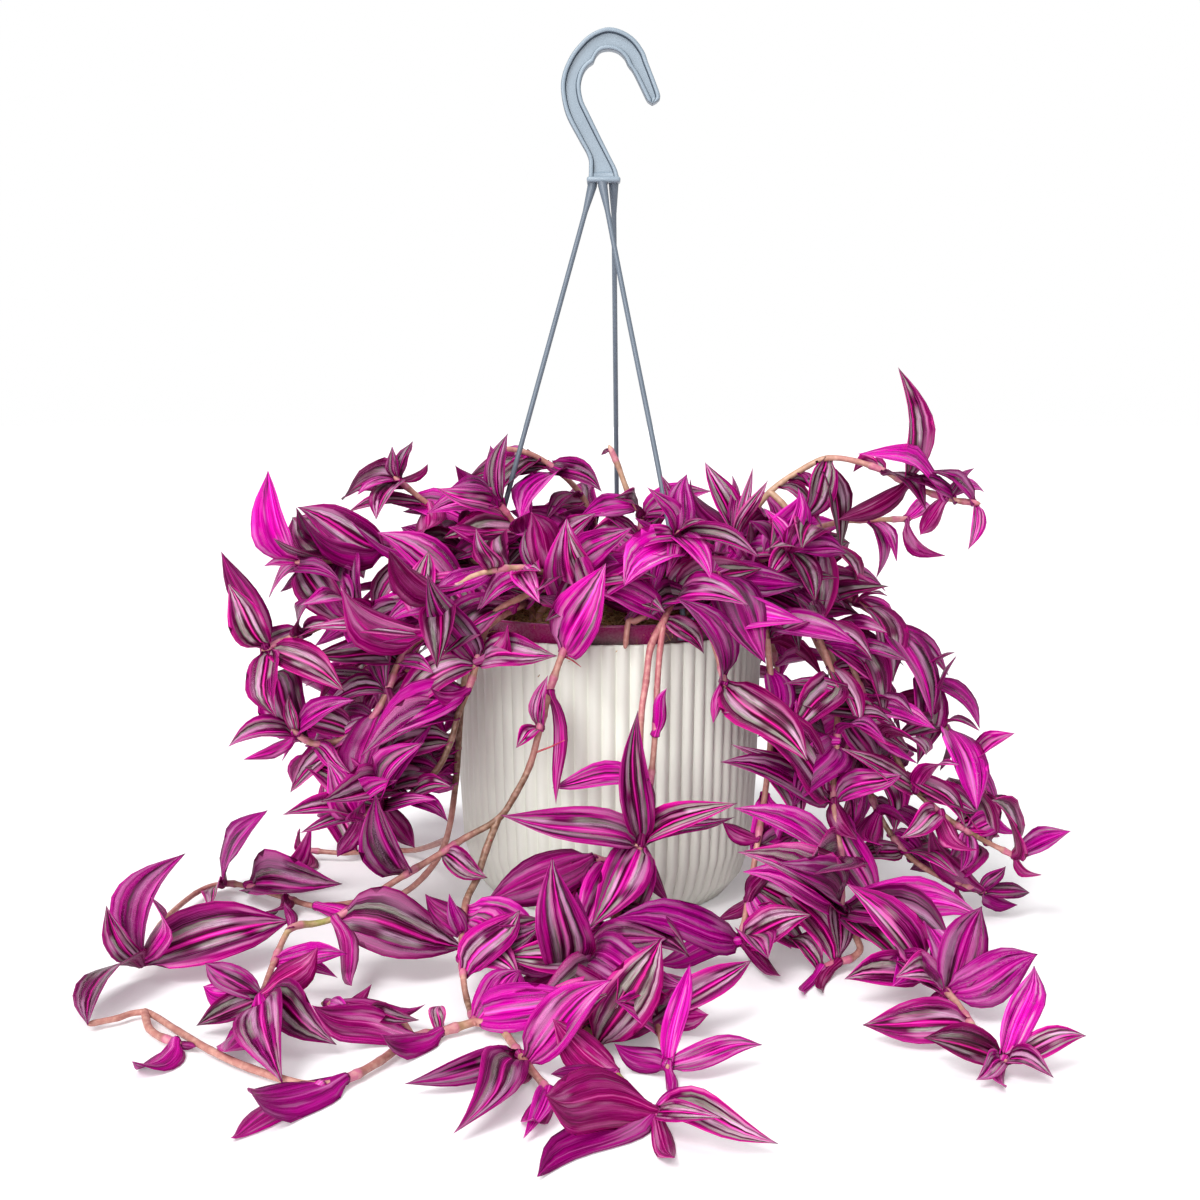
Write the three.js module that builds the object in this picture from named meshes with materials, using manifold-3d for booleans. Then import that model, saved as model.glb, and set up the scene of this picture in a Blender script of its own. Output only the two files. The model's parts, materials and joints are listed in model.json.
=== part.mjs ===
// A trailing purple-striped tradescantia in a ribbed pot. A plum inner pot of coir stands in the ribbed one, and a
// stiff hanger with three rods and a hook is clipped on its rim. The pot stands on its foot and the long stems trail
// over the rim and along the surface. Millimetres, +Z up, the front towards -Y, the origin at the middle of the foot.
import * as THREE from "three";
import { mergeVertices } from "three/addons/utils/BufferGeometryUtils.js";
import Module from "manifold-3d";

const wasm = await Module();
wasm.setup();

// ---------------------------------------------------------------- driving dimensions
const GAP = 0.3; // between pieces that touch
const PLANTER_HEIGHT = 130;
const RIB_COUNT = 72;
const RIB_DEPTH = 1.2;
// Radius of the rib crests at each height, from the foot up.
const PLANTER_PROFILE = [[58, 0], [66.5, 10], [71.2, 25], [73.2, 58], [75, PLANTER_HEIGHT]];
const PLANTER_INSIDE = [[0, 5], [56, 5], [68.2, 27], [72.4, PLANTER_HEIGHT + 1], [0, PLANTER_HEIGHT + 1]];
const INNER_POT_FLOOR = 5 + GAP;
const INNER_POT_RIM = 138.5;
const INNER_POT_BASE_RADIUS = 50;
const INNER_POT_RIM_RADIUS = 71.5;
const INNER_POT_WALL = 1.6;
const SOIL_EDGE = 133.5;
const SOIL_CROWN = 138;
const ROOT_DEPTH = 116; // height of the buried end of each stem

const ROD_RADIUS = 1.2;
const HOOK_BASE = 341.6;
const HOOK_DEPTH = 7;
const HOOK_WEB = 2.4;
const HOOK_RIM = 1.5;
// The two edges of the hook bar as they show in the picture, from its tip round the crook to its base: the outer
// edge in U and V, then the inner one. A smooth curve runs through each.
const HOOK_EDGES = [[655.4, 104.2, 651.2, 104], [659.6, 95.6, 643.8, 94.4], [651.4, 72, 632.8, 72],
  [642.4, 50.6, 625.6, 59.4], [623.4, 31.6, 614.4, 51.4], [609.5, 28.3, 607, 50.6], [594, 31.8, 599, 54.6],
  [576.4, 48.6, 591.6, 65.2], [563.4, 70, 582.6, 76.6], [561, 86, 580.8, 88], [567.6, 115.4, 587.4, 109.6],
  [584, 146, 604.8, 144.4], [589, 160, 613.6, 161], [588.4, 181.5, 619.6, 181.5]];
const HOOK_STEPS = 30; // along each edge
const POCKET_SPAN = [0.055, 0.955]; // of the bar's length
const HOOK_PLATE = { width: 16, depth: 9, height: 2.6, x: -2.2 };
// The flare of a rod under the plate, with its ends as shares of the rod.
const FLARE = { length: 16, top: 2, foot: 0.8, sides: 6 };
const ROD_STEPS = 12;
const ROD_SIDES = 6;
const ROD_RING_STEP = 48;
const ROD_LANDING = 2; // height of a rod's end over the rim
// The clip of a rod: its width along the rim, how far it reaches in and out from the wall, the thickness of its inner
// leg, the height of its bridge, and how far its inner leg runs down.
const CLIP = { width: 8, inward: 3.2, outward: 2.2, leg: 1.55, bridge: 2.6, drop: 3.6 };
// Each rod: where it leaves the hook in X and Y, the direction of its clip round the rim, and how far it bows out.
const RODS = {
  hanger_rod_left: { top: [-7.6, 0], azimuth: 209, bow: 0.3 },
  hanger_rod_right: { top: [-2.6, -2.4], azimuth: 298.5, bow: 2.5 },
  hanger_rod_rear: { top: [2.6, 2.4], azimuth: 85.5, bow: 0.3 },
};

const STEM_RADIUS = 1.75;
const STEM_SIDES = 4;
const SAMPLE_STEP = 5; // between neighbouring points of a stem
// From one ring of a stem's skin to the next: the first step whose skin is clear of its neighbours is taken.
const STEM_RING_STEPS = [25, 21, 18, 15, 13, 11, 9, 7];
const STEM_END = 2.6; // length of a stem past its last joint
const HOLE_SIDES = 4;
const HOLE_RADIUS = 3; // of a stem's hole in the soil, out to its corners
const TURNED_SIDES = 24;
const LEAF_THICKNESS = 1.3;
const LEAF_ARCH = 0.09; // rise of the midrib over the chord, as a share of the length
const LEAF_FOLD = 0.16; // rise of the edges over the midrib, as a share of the width
const SMALL_LEAF = 56;
const TINY_LEAF = 27;
const CLEARANCE = 0.35;

// The picture that the stems and leaves were laid out on: where its eye stands, its pitch and its scale.
const EYE = [-3.9, -767, 228];
const PITCH = THREE.MathUtils.degToRad(6.4);
const FOCAL = 1575;
const CENTRE = 600;

const COLOUR = { planter: 0xdedcd6, innerPot: 0x6e1c56, soil: 0x8a6a45, hanger: 0xafbcc6, vine: 0xa8107c };

// ---------------------------------------------------------------- vectors and places
const add = (a, b) => [a[0] + b[0], a[1] + b[1], a[2] + b[2]];
const sub = (a, b) => [a[0] - b[0], a[1] - b[1], a[2] - b[2]];
const scale = (a, k) => [a[0] * k, a[1] * k, a[2] * k];
const dot = (a, b) => a[0] * b[0] + a[1] * b[1] + a[2] * b[2];
const cross = (a, b) => [a[1] * b[2] - a[2] * b[1], a[2] * b[0] - a[0] * b[2], a[0] * b[1] - a[1] * b[0]];
const length = (a) => Math.sqrt(dot(a, a));
const unit = (a) => scale(a, 1 / (length(a) || 1));
const polar = (degrees, radius, z) => {
  const angle = THREE.MathUtils.degToRad(degrees);
  return [radius * Math.cos(angle), radius * Math.sin(angle), z];
};

// The ray from the eye through a point of the picture, u to the right and v down.
function ray(u, v) {
  const up = (CENTRE - v) / FOCAL;
  return [(u - CENTRE) / FOCAL, Math.cos(PITCH) + up * Math.sin(PITCH), up * Math.cos(PITCH) - Math.sin(PITCH)];
}
// The place seen at (u, v) that lies at depth y, and the one that lies at height z.
function at(u, v, y) {
  const r = ray(u, v);
  return add(EYE, scale(r, (y - EYE[1]) / r[1]));
}
function low(u, v, z) {
  const r = ray(u, v);
  return add(EYE, scale(r, (z - EYE[2]) / r[2]));
}

// ---------------------------------------------------------------- solids
function solid(points, faces) {
  return new wasm.Manifold(
    new wasm.Mesh({
      numProp: 3,
      vertProperties: new Float32Array(points.flat()),
      triVerts: new Uint32Array(faces.flat()),
    }),
  );
}
function solidOf(geometry) {
  geometry.deleteAttribute("normal");
  geometry.deleteAttribute("uv");
  const merged = mergeVertices(geometry, 1e-4);
  return new wasm.Manifold(
    new wasm.Mesh({
      numProp: 3,
      vertProperties: merged.attributes.position.array,
      triVerts: new Uint32Array(merged.index.array),
    }),
  );
}
// A lathe about Z whose profile starts and ends on the axis, given as radius and height from the bottom up.
function turned(profile, segments) {
  const outline = profile.map(([radius, z]) => new THREE.Vector2(radius, z));
  return solidOf(new THREE.LatheGeometry(outline, segments).rotateX(Math.PI / 2));
}
// A bar with a section of equal sides, swept along a curve through the points, and its middle line.
function swept(points, radius, sides, ringStep) {
  const curve = new THREE.CatmullRomCurve3(points.map((p) => new THREE.Vector3(...p)), false, "centripetal");
  const section = Array.from({ length: sides }, (_, j) => {
    const angle = (2 * Math.PI * (j + 0.5)) / sides;
    return new THREE.Vector2(radius * Math.cos(angle), radius * Math.sin(angle));
  });
  const steps = Math.max(1, Math.round(curve.getLength() / ringStep));
  const piece = solidOf(new THREE.ExtrudeGeometry(new THREE.Shape(section), { steps, extrudePath: curve }));
  return { piece, axis: curve.getSpacedPoints(steps).map((p) => p.toArray()) };
}
// The place on a line of points that is nearest to a place beside it.
function nearestOn(axis, place) {
  const segment = new THREE.Line3();
  const target = new THREE.Vector3(...place);
  const found = axis.slice(1).map((end, i) => {
    segment.set(new THREE.Vector3(...axis[i]), new THREE.Vector3(...end));
    return segment.closestPointToPoint(target, true, new THREE.Vector3());
  });
  return found.reduce((a, b) => (b.distanceTo(target) < a.distanceTo(target) ? b : a)).toArray();
}
const joined = (solids) => solids.reduce((whole, piece) => whole.add(piece));
// The one body of a fused piece, with its sealed hollows filled and its loose scraps dropped.
function oneBody(piece) {
  const bodies = piece.decompose();
  return bodies.reduce((best, body) => (body.volume() > best.volume() ? body : best));
}

// ---------------------------------------------------------------- pots, soil and hanger
// The outside is a lathe whose every other line of points is drawn in, which leaves a rib between them.
function makePlanter() {
  const outline = [...PLANTER_PROFILE, [0, PLANTER_HEIGHT]].map(([radius, z]) => new THREE.Vector2(radius, z));
  outline.unshift(new THREE.Vector2(0, 0));
  const ribbed = new THREE.LatheGeometry(outline, 2 * RIB_COUNT).rotateX(Math.PI / 2);
  const place = ribbed.attributes.position;
  for (let i = 0; i < place.count; i++) {
    const line = Math.floor(i / outline.length);
    const radius = Math.hypot(place.getX(i), place.getY(i));
    if (line % 2 === 0 || radius < 1) continue;
    const share = 1 - RIB_DEPTH / radius;
    place.setXY(i, place.getX(i) * share, place.getY(i) * share);
  }
  return solidOf(ribbed).subtract(turned(PLANTER_INSIDE, TURNED_SIDES));
}
function makeInnerPot() {
  const outside = [[0, INNER_POT_FLOOR], [INNER_POT_BASE_RADIUS, INNER_POT_FLOOR],
    [INNER_POT_RIM_RADIUS, INNER_POT_RIM], [0, INNER_POT_RIM]];
  const inside = [[0, INNER_POT_FLOOR + INNER_POT_WALL],
    [INNER_POT_BASE_RADIUS - INNER_POT_WALL, INNER_POT_FLOOR + INNER_POT_WALL],
    [INNER_POT_RIM_RADIUS - INNER_POT_WALL, INNER_POT_RIM + 1], [0, INNER_POT_RIM + 1]];
  return turned(outside, TURNED_SIDES).subtract(turned(inside, TURNED_SIDES));
}
function innerPotInside(z) {
  const share = (z - INNER_POT_FLOOR) / (INNER_POT_RIM - INNER_POT_FLOOR);
  return INNER_POT_BASE_RADIUS + share * (INNER_POT_RIM_RADIUS - INNER_POT_BASE_RADIUS) - INNER_POT_WALL;
}
const soilTop = (radius) => SOIL_CROWN - (SOIL_CROWN - SOIL_EDGE) * (radius / INNER_POT_RIM_RADIUS) ** 2;
function makeSoil(holes) {
  const floor = INNER_POT_FLOOR + INNER_POT_WALL + GAP;
  const edge = innerPotInside(SOIL_EDGE) - 3 * GAP;
  const profile = [[0, floor], [innerPotInside(floor) - 3 * GAP, floor], [edge, soilTop(edge)]];
  [0.55, 0].forEach((share) => profile.push([edge * share, soilTop(edge * share)]));
  return holes.reduce((whole, hole) => whole.subtract(hole), turned(profile, TURNED_SIDES));
}
// The outline of the bar in X and Z over a span of its length, drawn in from both edges by an inset.
function hookOutline([first, last], inset) {
  const edge = (k) => new THREE.SplineCurve(HOOK_EDGES.map((row) => new THREE.Vector2(row[k], row[k + 1])));
  const [outerEdge, innerEdge] = [edge(0), edge(2)];
  const outer = [];
  const inner = [];
  for (let i = 0; i <= HOOK_STEPS; i++) {
    const t = first + ((last - first) * i) / HOOK_STEPS;
    const [a, b] = [outerEdge, innerEdge].map((curve) => curve.getPoint(t)).map(({ x, y }) => at(x, y, 0));
    const across = scale(unit(sub(b, a)), inset);
    outer.push(add(a, across));
    inner.unshift(sub(b, across));
  }
  return new THREE.Shape([...outer, ...inner].map(([x, , z]) => new THREE.Vector2(x, z)));
}
const slab = (shape, depth, y) =>
  solidOf(new THREE.ExtrudeGeometry(shape, { depth, bevelEnabled: false }).rotateX(Math.PI / 2).translate(0, y, 0));
function makeHook() {
  const bar = slab(hookOutline([0, 1], 0), HOOK_DEPTH, HOOK_DEPTH / 2);
  const pocket = hookOutline(POCKET_SPAN, HOOK_RIM);
  const pocketDepth = (HOOK_DEPTH - HOOK_WEB) / 2;
  const front = slab(pocket, pocketDepth + 1, -HOOK_WEB / 2);
  const back = slab(pocket, pocketDepth + 1, HOOK_DEPTH / 2 + 1);
  const { width, depth, height, x } = HOOK_PLATE;
  const plate = solidOf(new THREE.BoxGeometry(width, depth, height).translate(x, 0, HOOK_BASE + height / 2));
  return bar.subtract(front).subtract(back).add(plate);
}
// A rod from under the hook's plate to the rim, as points along a slightly bowed line.
function rodPath({ top, azimuth, bow }) {
  const start = [top[0], top[1], HOOK_BASE - GAP - ROD_RADIUS];
  const end = polar(azimuth, INNER_POT_RIM_RADIUS - INNER_POT_WALL / 2, INNER_POT_RIM + ROD_LANDING);
  const out = unit([end[0] - start[0], end[1] - start[1], 0]);
  return Array.from({ length: ROD_STEPS + 1 }, (_, i) => {
    const t = i / ROD_STEPS;
    const chord = add(scale(start, 1 - t), scale(end, t));
    return add(chord, scale(out, bow * Math.sin(Math.PI * t * t)));
  });
}
// The clip at the foot of a rod: a bridge over the rim with a leg down each side of the inner pot's wall.
function makeClip(azimuth) {
  const { width, inward, outward, leg, bridge, drop } = CLIP;
  const block = (inner, outer, z0, z1) =>
    solidOf(new THREE.BoxGeometry(outer - inner, width, z1 - z0).translate((inner + outer) / 2, 0, (z0 + z1) / 2)
      .rotateZ(THREE.MathUtils.degToRad(azimuth)));
  const innermost = INNER_POT_RIM_RADIUS - INNER_POT_WALL - inward;
  const outermost = INNER_POT_RIM_RADIUS + outward;
  const [underside, top] = [INNER_POT_RIM + 1, INNER_POT_RIM + bridge];
  return joined([
    block(innermost, outermost, INNER_POT_RIM + GAP, top),
    block(innermost, innermost + leg, INNER_POT_RIM - drop, underside),
    block(INNER_POT_RIM_RADIUS + GAP, outermost, PLANTER_HEIGHT + 1, underside),
  ]);
}
function makeRod(rod) {
  const path = rodPath(rod);
  const [x, y] = path[0];
  const middle = HOOK_BASE - GAP - FLARE.length / 2;
  const flare = new THREE.CylinderGeometry(FLARE.top * ROD_RADIUS, FLARE.foot * ROD_RADIUS, FLARE.length, FLARE.sides)
    .rotateX(Math.PI / 2).translate(x, y, middle);
  return swept(path, ROD_RADIUS, ROD_SIDES, ROD_RING_STEP).piece.add(solidOf(flare)).add(makeClip(rod.azimuth));
}

// ---------------------------------------------------------------- the rows of stems and leaves
const UNDER = -1; // a leaf that shows its underside
const root = (azimuth, radius) => ({ azimuth, radius });
const on = (stemIndex, pointIndex) => ({ stemIndex, pointIndex });
const stem = (start, points, leaves) => ({ start, points, leaves });
const leaf = (point, tip, width, side = 1) => ({ point, tip, width, side });
const vine = (name, stems) => ({ name, stems });
// Each stem: where it starts, its joints in order, and its leaves. A leaf gives the joint that it grows from, its tip
// and its width in the picture. at() is a place at a depth, low() one at a height over the surface.
const VINES = [
  vine("vine_left_high", [
    stem(root(178, 54), [at(505, 578, -14), at(450, 556, -26), at(385, 552, -40), at(340, 560, -50),
      at(299, 563, -56)], [
      leaf(4, at(268, 470, -66), 38), leaf(2, at(296, 507, -76), 42, UNDER),
      leaf(1, at(350, 520, -60), 20, UNDER),
      leaf(3, at(273, 538, -84), 16, UNDER), leaf(4, at(345, 622, -78), 38), leaf(4, at(342, 583, -92), 20),
      leaf(4, at(264, 566, -60), 9), leaf(3, at(280, 592, -34), 14), leaf(1, at(437, 577, -62), 15),
    ]),
  ]),
  vine("vine_left_crown", [
    stem(root(160, 40), [at(520, 560, 0), at(470, 528, -14), at(430, 505, -20), at(398, 480, -24)], [
      leaf(3, at(392, 446, -26), 14), leaf(3, at(413, 441, -14), 13), leaf(3, at(428, 464, -8), 20, UNDER),
      leaf(3, at(357, 495, -40), 17), leaf(3, at(376, 520, -52), 26), leaf(2, at(425, 530, -52), 28, UNDER),
      leaf(2, at(348, 512, -34), 14), leaf(1, at(500, 489, -40), 20), leaf(1, at(415, 545, 10), 24),
    ]),
  ]),
  vine("vine_upright_left", [
    stem(root(150, 24), [at(548, 560, -22), at(522, 532, -36), at(499, 503, -44)], [
      leaf(2, at(508, 433, -38), 19), leaf(2, at(490, 445, -30), 16), leaf(2, at(455, 465, -52), 20, UNDER),
      leaf(2, at(450, 488, -64), 19), leaf(1, at(448, 527, -54), 22, UNDER), leaf(2, at(480, 481, -24), 10),
      leaf(1, at(530, 512, -72), 20),
    ]),
  ]),
  vine("vine_tan_stem", [
    stem(root(250, 47), [at(606, 588, -58), at(580, 579, -72), at(552, 574, -80), at(520, 568, -86),
      at(493, 571, -90),
      at(470, 578, -94), at(447, 596, -97), at(428, 634, -96)], [
      leaf(2, at(531, 512, -98), 34, UNDER), leaf(1, at(567, 528, -94), 24),
      leaf(4, at(476, 528, -110), 22),
      leaf(6, at(388, 550, -122), 34, UNDER), leaf(7, at(340, 585, -128), 45, UNDER),
      leaf(7, at(333, 650, -112), 14),
      leaf(7, at(303, 628, -112), 17), leaf(3, at(540, 604, -110), 24),
    ]),
  ]),
  vine("vine_left_drop", [
    stem(root(232, 52), [at(562, 592, -60), at(545, 588, -72), at(520, 598, -82), at(495, 613, -89),
      at(482, 640, -93),
      at(477, 662, -95), at(468, 690, -96), at(458, 715, -97), at(452, 738, -98), at(438, 768, -100),
      at(410, 795, -103),
      at(382, 804, -106), at(360, 817, -108)], [
      leaf(5, at(427, 573, -112), 36), leaf(5, at(508, 624, -114), 26, UNDER),
      leaf(5, at(558, 656, -110), 34),
      leaf(6, at(430, 688, -112), 16, UNDER), leaf(12, at(327, 760, -120), 40),
      leaf(12, at(282, 815, -126), 22),
      leaf(12, at(300, 833, -112), 13), leaf(12, at(337, 857, -120), 30, UNDER),
      leaf(12, at(398, 780, -134), 20),
      leaf(11, at(433, 723, -98), 15), leaf(10, at(452, 787, -112), 28), leaf(10, at(448, 822, -120), 18),
      leaf(11, at(425, 742, -134), 30), leaf(11, at(437, 800, -134), 15),
      leaf(11, at(415, 848, -124), 22, UNDER),
    ]),
  ]),
  vine("vine_left_mid", [
    stem(root(192, 56), [at(480, 598, -46), at(420, 604, -62), at(350, 618, -76), at(300, 634, -84),
      at(267, 648, -88)], [
      leaf(4, at(228, 583, -100), 54), leaf(4, at(221, 551, -80), 28, UNDER),
      leaf(3, at(312, 598, -102), 22),
      leaf(3, at(340, 630, -106), 16), leaf(4, at(276, 674, -92), 13, UNDER),
      leaf(2, at(385, 652, -98), 30),
      leaf(4, at(345, 692, -102), 35), leaf(1, at(395, 572, -86), 26),
      leaf(1, at(452, 646, -84), 26, UNDER),
    ]),
  ]),
  vine("vine_left_low", [
    stem(root(212, 54), [at(470, 618, -66), at(425, 636, -76), at(400, 660, -82), at(388, 690, -86),
      at(372, 718, -88),
      at(345, 738, -90), at(315, 744, -92), at(296, 733, -94)], [
      leaf(2, at(318, 655, -104), 30), leaf(3, at(322, 672, -66), 20),
      leaf(3, at(392, 744, -104), 22, UNDER),
      leaf(7, at(228, 747, -106), 30), leaf(7, at(289, 694, -94), 13), leaf(7, at(355, 700, -112), 22),
      leaf(7, at(243, 760, -84), 14, UNDER), leaf(6, at(352, 774, -108), 18),
      leaf(4, at(343, 710, -70), 18),
      leaf(2, at(434, 674, -96), 17), leaf(4, at(418, 748, -76), 24), leaf(5, at(352, 778, -72), 22, UNDER),
    ]),
  ]),
  vine("vine_floor_left", [
    stem(root(262, 44), [at(588, 606, -62), at(574, 630, -80), at(562, 655, -87), at(550, 690, -91),
      at(540, 728, -93),
      at(530, 765, -95), at(515, 795, -98), at(498, 819, -102), at(465, 838, -107), at(443, 852, -111),
      at(405, 875, -119),
      at(365, 900, -128), at(335, 918, -134), at(312, 924, -138), at(290, 929, -144), low(274, 962, 15),
      low(261, 998, 12)], [
      leaf(2, at(606, 563, -112), 48), leaf(3, at(556, 805, -108), 14, UNDER),
      leaf(4, at(548, 675, -108), 16),
      leaf(4, at(516, 748, -104), 20), leaf(9, at(488, 878, -120), 26), leaf(10, at(376, 793, -134), 42),
      leaf(12, low(465, 948, 12), 74), leaf(12, low(352, 986, 12), 20, UNDER),
      leaf(14, at(284, 902, -140), 20, UNDER),
      leaf(15, low(348, 954, 22), 26), leaf(16, at(205, 963, -180), 30),
      leaf(16, at(318, 947, -192), 45, UNDER),
      leaf(16, low(337, 1045, 5), 44), leaf(16, low(203, 986, 12), 32),
      leaf(16, low(218, 1063, 4), 48, UNDER),
      leaf(16, low(283, 1084, 4), 52), leaf(16, low(196, 1026, 4), 28), leaf(15, low(338, 978, 8), 16),
    ]),
    stem(on(0, 7), [at(486, 850, -108), at(477, 878, -116), at(466, 902, -126), at(462, 935, -144),
      low(463, 975, 14),
      low(467, 1000, 7), low(474, 1022, 4)], [
      leaf(4, at(520, 910, -154), 42), leaf(3, at(449, 893, -152), 17),
      leaf(3, at(436, 906, -124), 30, UNDER),
      leaf(6, at(523, 970, -176), 54),
    ]),
    stem(on(1, 6), [low(500, 1025, 3), low(524, 1025, 3), low(555, 1027, 3), low(585, 1030, 3),
      low(600, 1050, 3),
      low(616, 1074, 3), low(636, 1096, 3), low(655, 1112, 4)], [
      leaf(5, low(541, 1036, 14), 52, UNDER), leaf(5, low(556, 1097, 5), 16, UNDER),
      leaf(7, low(536, 1177, 4), 60, UNDER),
      leaf(7, low(779, 1144, 5), 38), leaf(7, low(680, 1168, 3), 22, UNDER),
      leaf(7, low(722, 1118, 14), 22),
      leaf(7, low(694, 1086, 12), 18, UNDER), leaf(3, low(560, 1004, 10), 24, UNDER),
    ]),
    stem(on(1, 6), [low(440, 1032, 3), low(412, 1038, 3), low(380, 1061, 3), low(345, 1079, 3),
      low(308, 1085, 3),
      low(250, 1068, 3), low(210, 1050, 3), low(178, 1031, 3), low(145, 1012, 3), low(118, 1018, 3),
      low(94, 1023, 3)], [
      leaf(1, low(312, 1064, 6), 38, UNDER), leaf(0, low(372, 1068, 4), 28, UNDER),
      leaf(3, low(230, 1138, 4), 38, UNDER),
      leaf(0, low(440, 1006, 8), 20),
    ]),
    stem(on(3, 8), [low(149, 1028, 3), low(161, 1037, 3), low(176, 1042, 3)], [
      leaf(2, low(147, 1076, 3), 22, UNDER), leaf(2, low(196, 1047, 3), 9, UNDER),
    ]),
    stem(on(2, 0), [low(520, 1055, 3), low(530, 1068, 3), low(549, 1091, 3)], [
      leaf(0, low(453, 1134, 4), 44), leaf(0, low(404, 1084, 5), 30), leaf(0, low(523, 1090, 3), 9, UNDER),
      leaf(2, low(523, 1137, 3), 26, UNDER),
    ]),
    stem(on(3, 1), [low(403, 1024, 6), low(388, 1014, 8), low(368, 1011, 8), low(345, 1007, 8),
      low(326, 1004, 7)], [
      leaf(4, low(426, 1004, 14), 14, UNDER), leaf(4, low(352, 1026, 4), 24),
      leaf(2, low(420, 1020, 12), 20),
      leaf(3, low(372, 984, 12), 14, UNDER),
    ]),
  ]),
  vine("vine_far_left", [
    stem(root(222, 48), [at(520, 606, -58), at(476, 640, -72), at(462, 700, -66), at(456, 780, -64),
      at(446, 840, -62),
      at(425, 875, -60), low(395, 897, 6), low(352, 903, 4), low(316, 906, 4), low(286, 898, 4),
      low(246, 886, 4),
      low(222, 884, 4), low(196, 893, 5), low(160, 925, 7), low(141, 962, 8)], [
      leaf(11, at(268, 810, -30), 36), leaf(14, low(291, 921, 15), 70), leaf(14, at(186, 853, -122), 58),
      leaf(14, at(106, 905, -150), 26), leaf(14, at(150, 896, -160), 20, UNDER),
      leaf(14, low(88, 1026, 4), 28),
      leaf(10, at(312, 824, -30), 22, UNDER), leaf(10, low(343, 884, 14), 44),
      leaf(10, low(284, 864, 10), 12, UNDER),
      leaf(11, low(208, 912, 4), 13), leaf(9, low(258, 916, 6), 14, UNDER),
      leaf(8, low(330, 940, 5), 18, UNDER),
    ]),
    stem(on(0, 4), [low(415, 850, 6), low(380, 850, 5), low(345, 853, 5), low(306, 850, 6)], [
      leaf(3, low(280, 868, 5), 16, UNDER), leaf(3, at(300, 828, 30), 18),
    ]),
  ]),
  vine("vine_front", [
    stem(root(284, 46), [at(672, 598, -64), at(665, 618, -79), at(660, 650, -86), at(657, 690, -90),
      at(655, 735, -94),
      at(650, 785, -99), at(641, 843, -112)], [
      leaf(6, at(500, 815, -130), 38), leaf(6, at(638, 710, -120), 34),
      leaf(6, at(648, 778, -132), 18, UNDER),
      leaf(6, at(738, 803, -130), 30), leaf(6, at(735, 817, -108), 15), leaf(6, at(590, 928, -152), 46),
      leaf(6, at(670, 904, -116), 18, UNDER), leaf(5, at(552, 788, -92), 25),
      leaf(4, at(667, 688, -102), 14, UNDER),
    ]),
    stem(on(0, 1), [at(651, 646, -87), at(646, 682, -93), at(641, 720, -100), at(640, 790, -107)], []),
    stem(on(0, 0), [at(650, 612, -73), at(634, 624, -76), at(625, 642, -74)], []),
    stem(on(0, 6), [at(616, 862, -113), at(594, 857, -114)], [
      leaf(1, at(484, 904, -126), 48, UNDER), leaf(1, at(583, 889, -124), 18, UNDER),
    ]),
    stem(on(0, 6), [at(630, 880, -117), at(614, 920, -132), low(586, 955, 15), low(562, 970, 11)], [
      leaf(3, at(552, 857, -178), 54), leaf(3, low(486, 939, 16), 36), leaf(3, low(632, 1038, 7), 44),
      leaf(3, low(606, 1046, 4), 42, UNDER), leaf(2, at(668, 938, -152), 44),
      leaf(2, low(667, 1028, 9), 42),
      leaf(3, low(462, 914, 22), 25), leaf(3, low(508, 987, 6), 20, UNDER),
    ]),
    stem(on(4, 2), [low(625, 985, 8), low(655, 1020, 5), low(667, 1065, 5)], [
      leaf(2, at(690, 963, -212), 24), leaf(2, low(763, 1045, 9), 27),
      leaf(2, low(618, 1045, 8), 30, UNDER),
      leaf(2, low(673, 1092, 4), 12, UNDER), leaf(1, low(752, 960, 22), 34),
      leaf(1, low(708, 1030, 6), 26, UNDER),
      leaf(0, low(650, 992, 18), 20),
    ]),
  ]),
  vine("vine_front_right", [
    stem(root(318, 50), [at(738, 566, -42), at(757, 592, -57), at(765, 625, -63), at(770, 668, -67),
      at(772, 710, -71),
      at(768, 770, -80), at(758, 840, -96), at(748, 900, -112), at(741, 941, -124)], [
      leaf(8, low(598, 916, 30), 40), leaf(8, at(812, 915, -134), 42), leaf(8, low(781, 976, 5), 13, UNDER),
      leaf(8, low(690, 950, 6), 16), leaf(8, low(655, 964, 6), 26, UNDER),
      leaf(7, low(716, 921, 12), 14, UNDER),
      leaf(7, at(765, 868, -120), 20, UNDER), leaf(6, at(722, 822, -98), 18, UNDER),
    ]),
  ]),
  vine("vine_rim_right", [
    stem(root(302, 50), [at(692, 596, -56), at(706, 580, -68), at(716, 574, -74)], [
      leaf(2, at(766, 664, -108), 45), leaf(2, at(740, 628, -90), 24, UNDER),
    ]),
    stem(on(0, 0), [at(704, 620, -76), at(716, 650, -84), at(724, 682, -90)], [
      leaf(2, at(676, 598, -110), 30), leaf(2, at(808, 762, -120), 45),
      leaf(2, at(713, 724, -96), 12, UNDER),
      leaf(2, at(758, 698, -82), 16, UNDER),
    ]),
  ]),
  vine("vine_right_low", [
    stem(root(326, 54), [at(776, 586, -30), at(800, 602, -38), at(814, 628, -46), at(826, 655, -53),
      at(836, 690, -60),
      at(837, 742, -72), at(833, 800, -86), at(842, 862, -101), at(841, 908, -113)], [
      leaf(6, at(737, 725, -122), 45), leaf(6, at(720, 762, -112), 30), leaf(6, at(730, 744, -96), 16),
      leaf(6, at(858, 840, -104), 30, UNDER), leaf(7, at(733, 808, -128), 30),
      leaf(8, at(737, 852, -140), 46),
      leaf(8, at(742, 872, -124), 32), leaf(8, at(776, 862, -150), 38), leaf(8, at(983, 918, -120), 44),
      leaf(8, low(956, 957, 13), 50), leaf(7, at(868, 868, -118), 18),
      leaf(5, at(796, 700, -92), 22, UNDER),
    ]),
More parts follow.
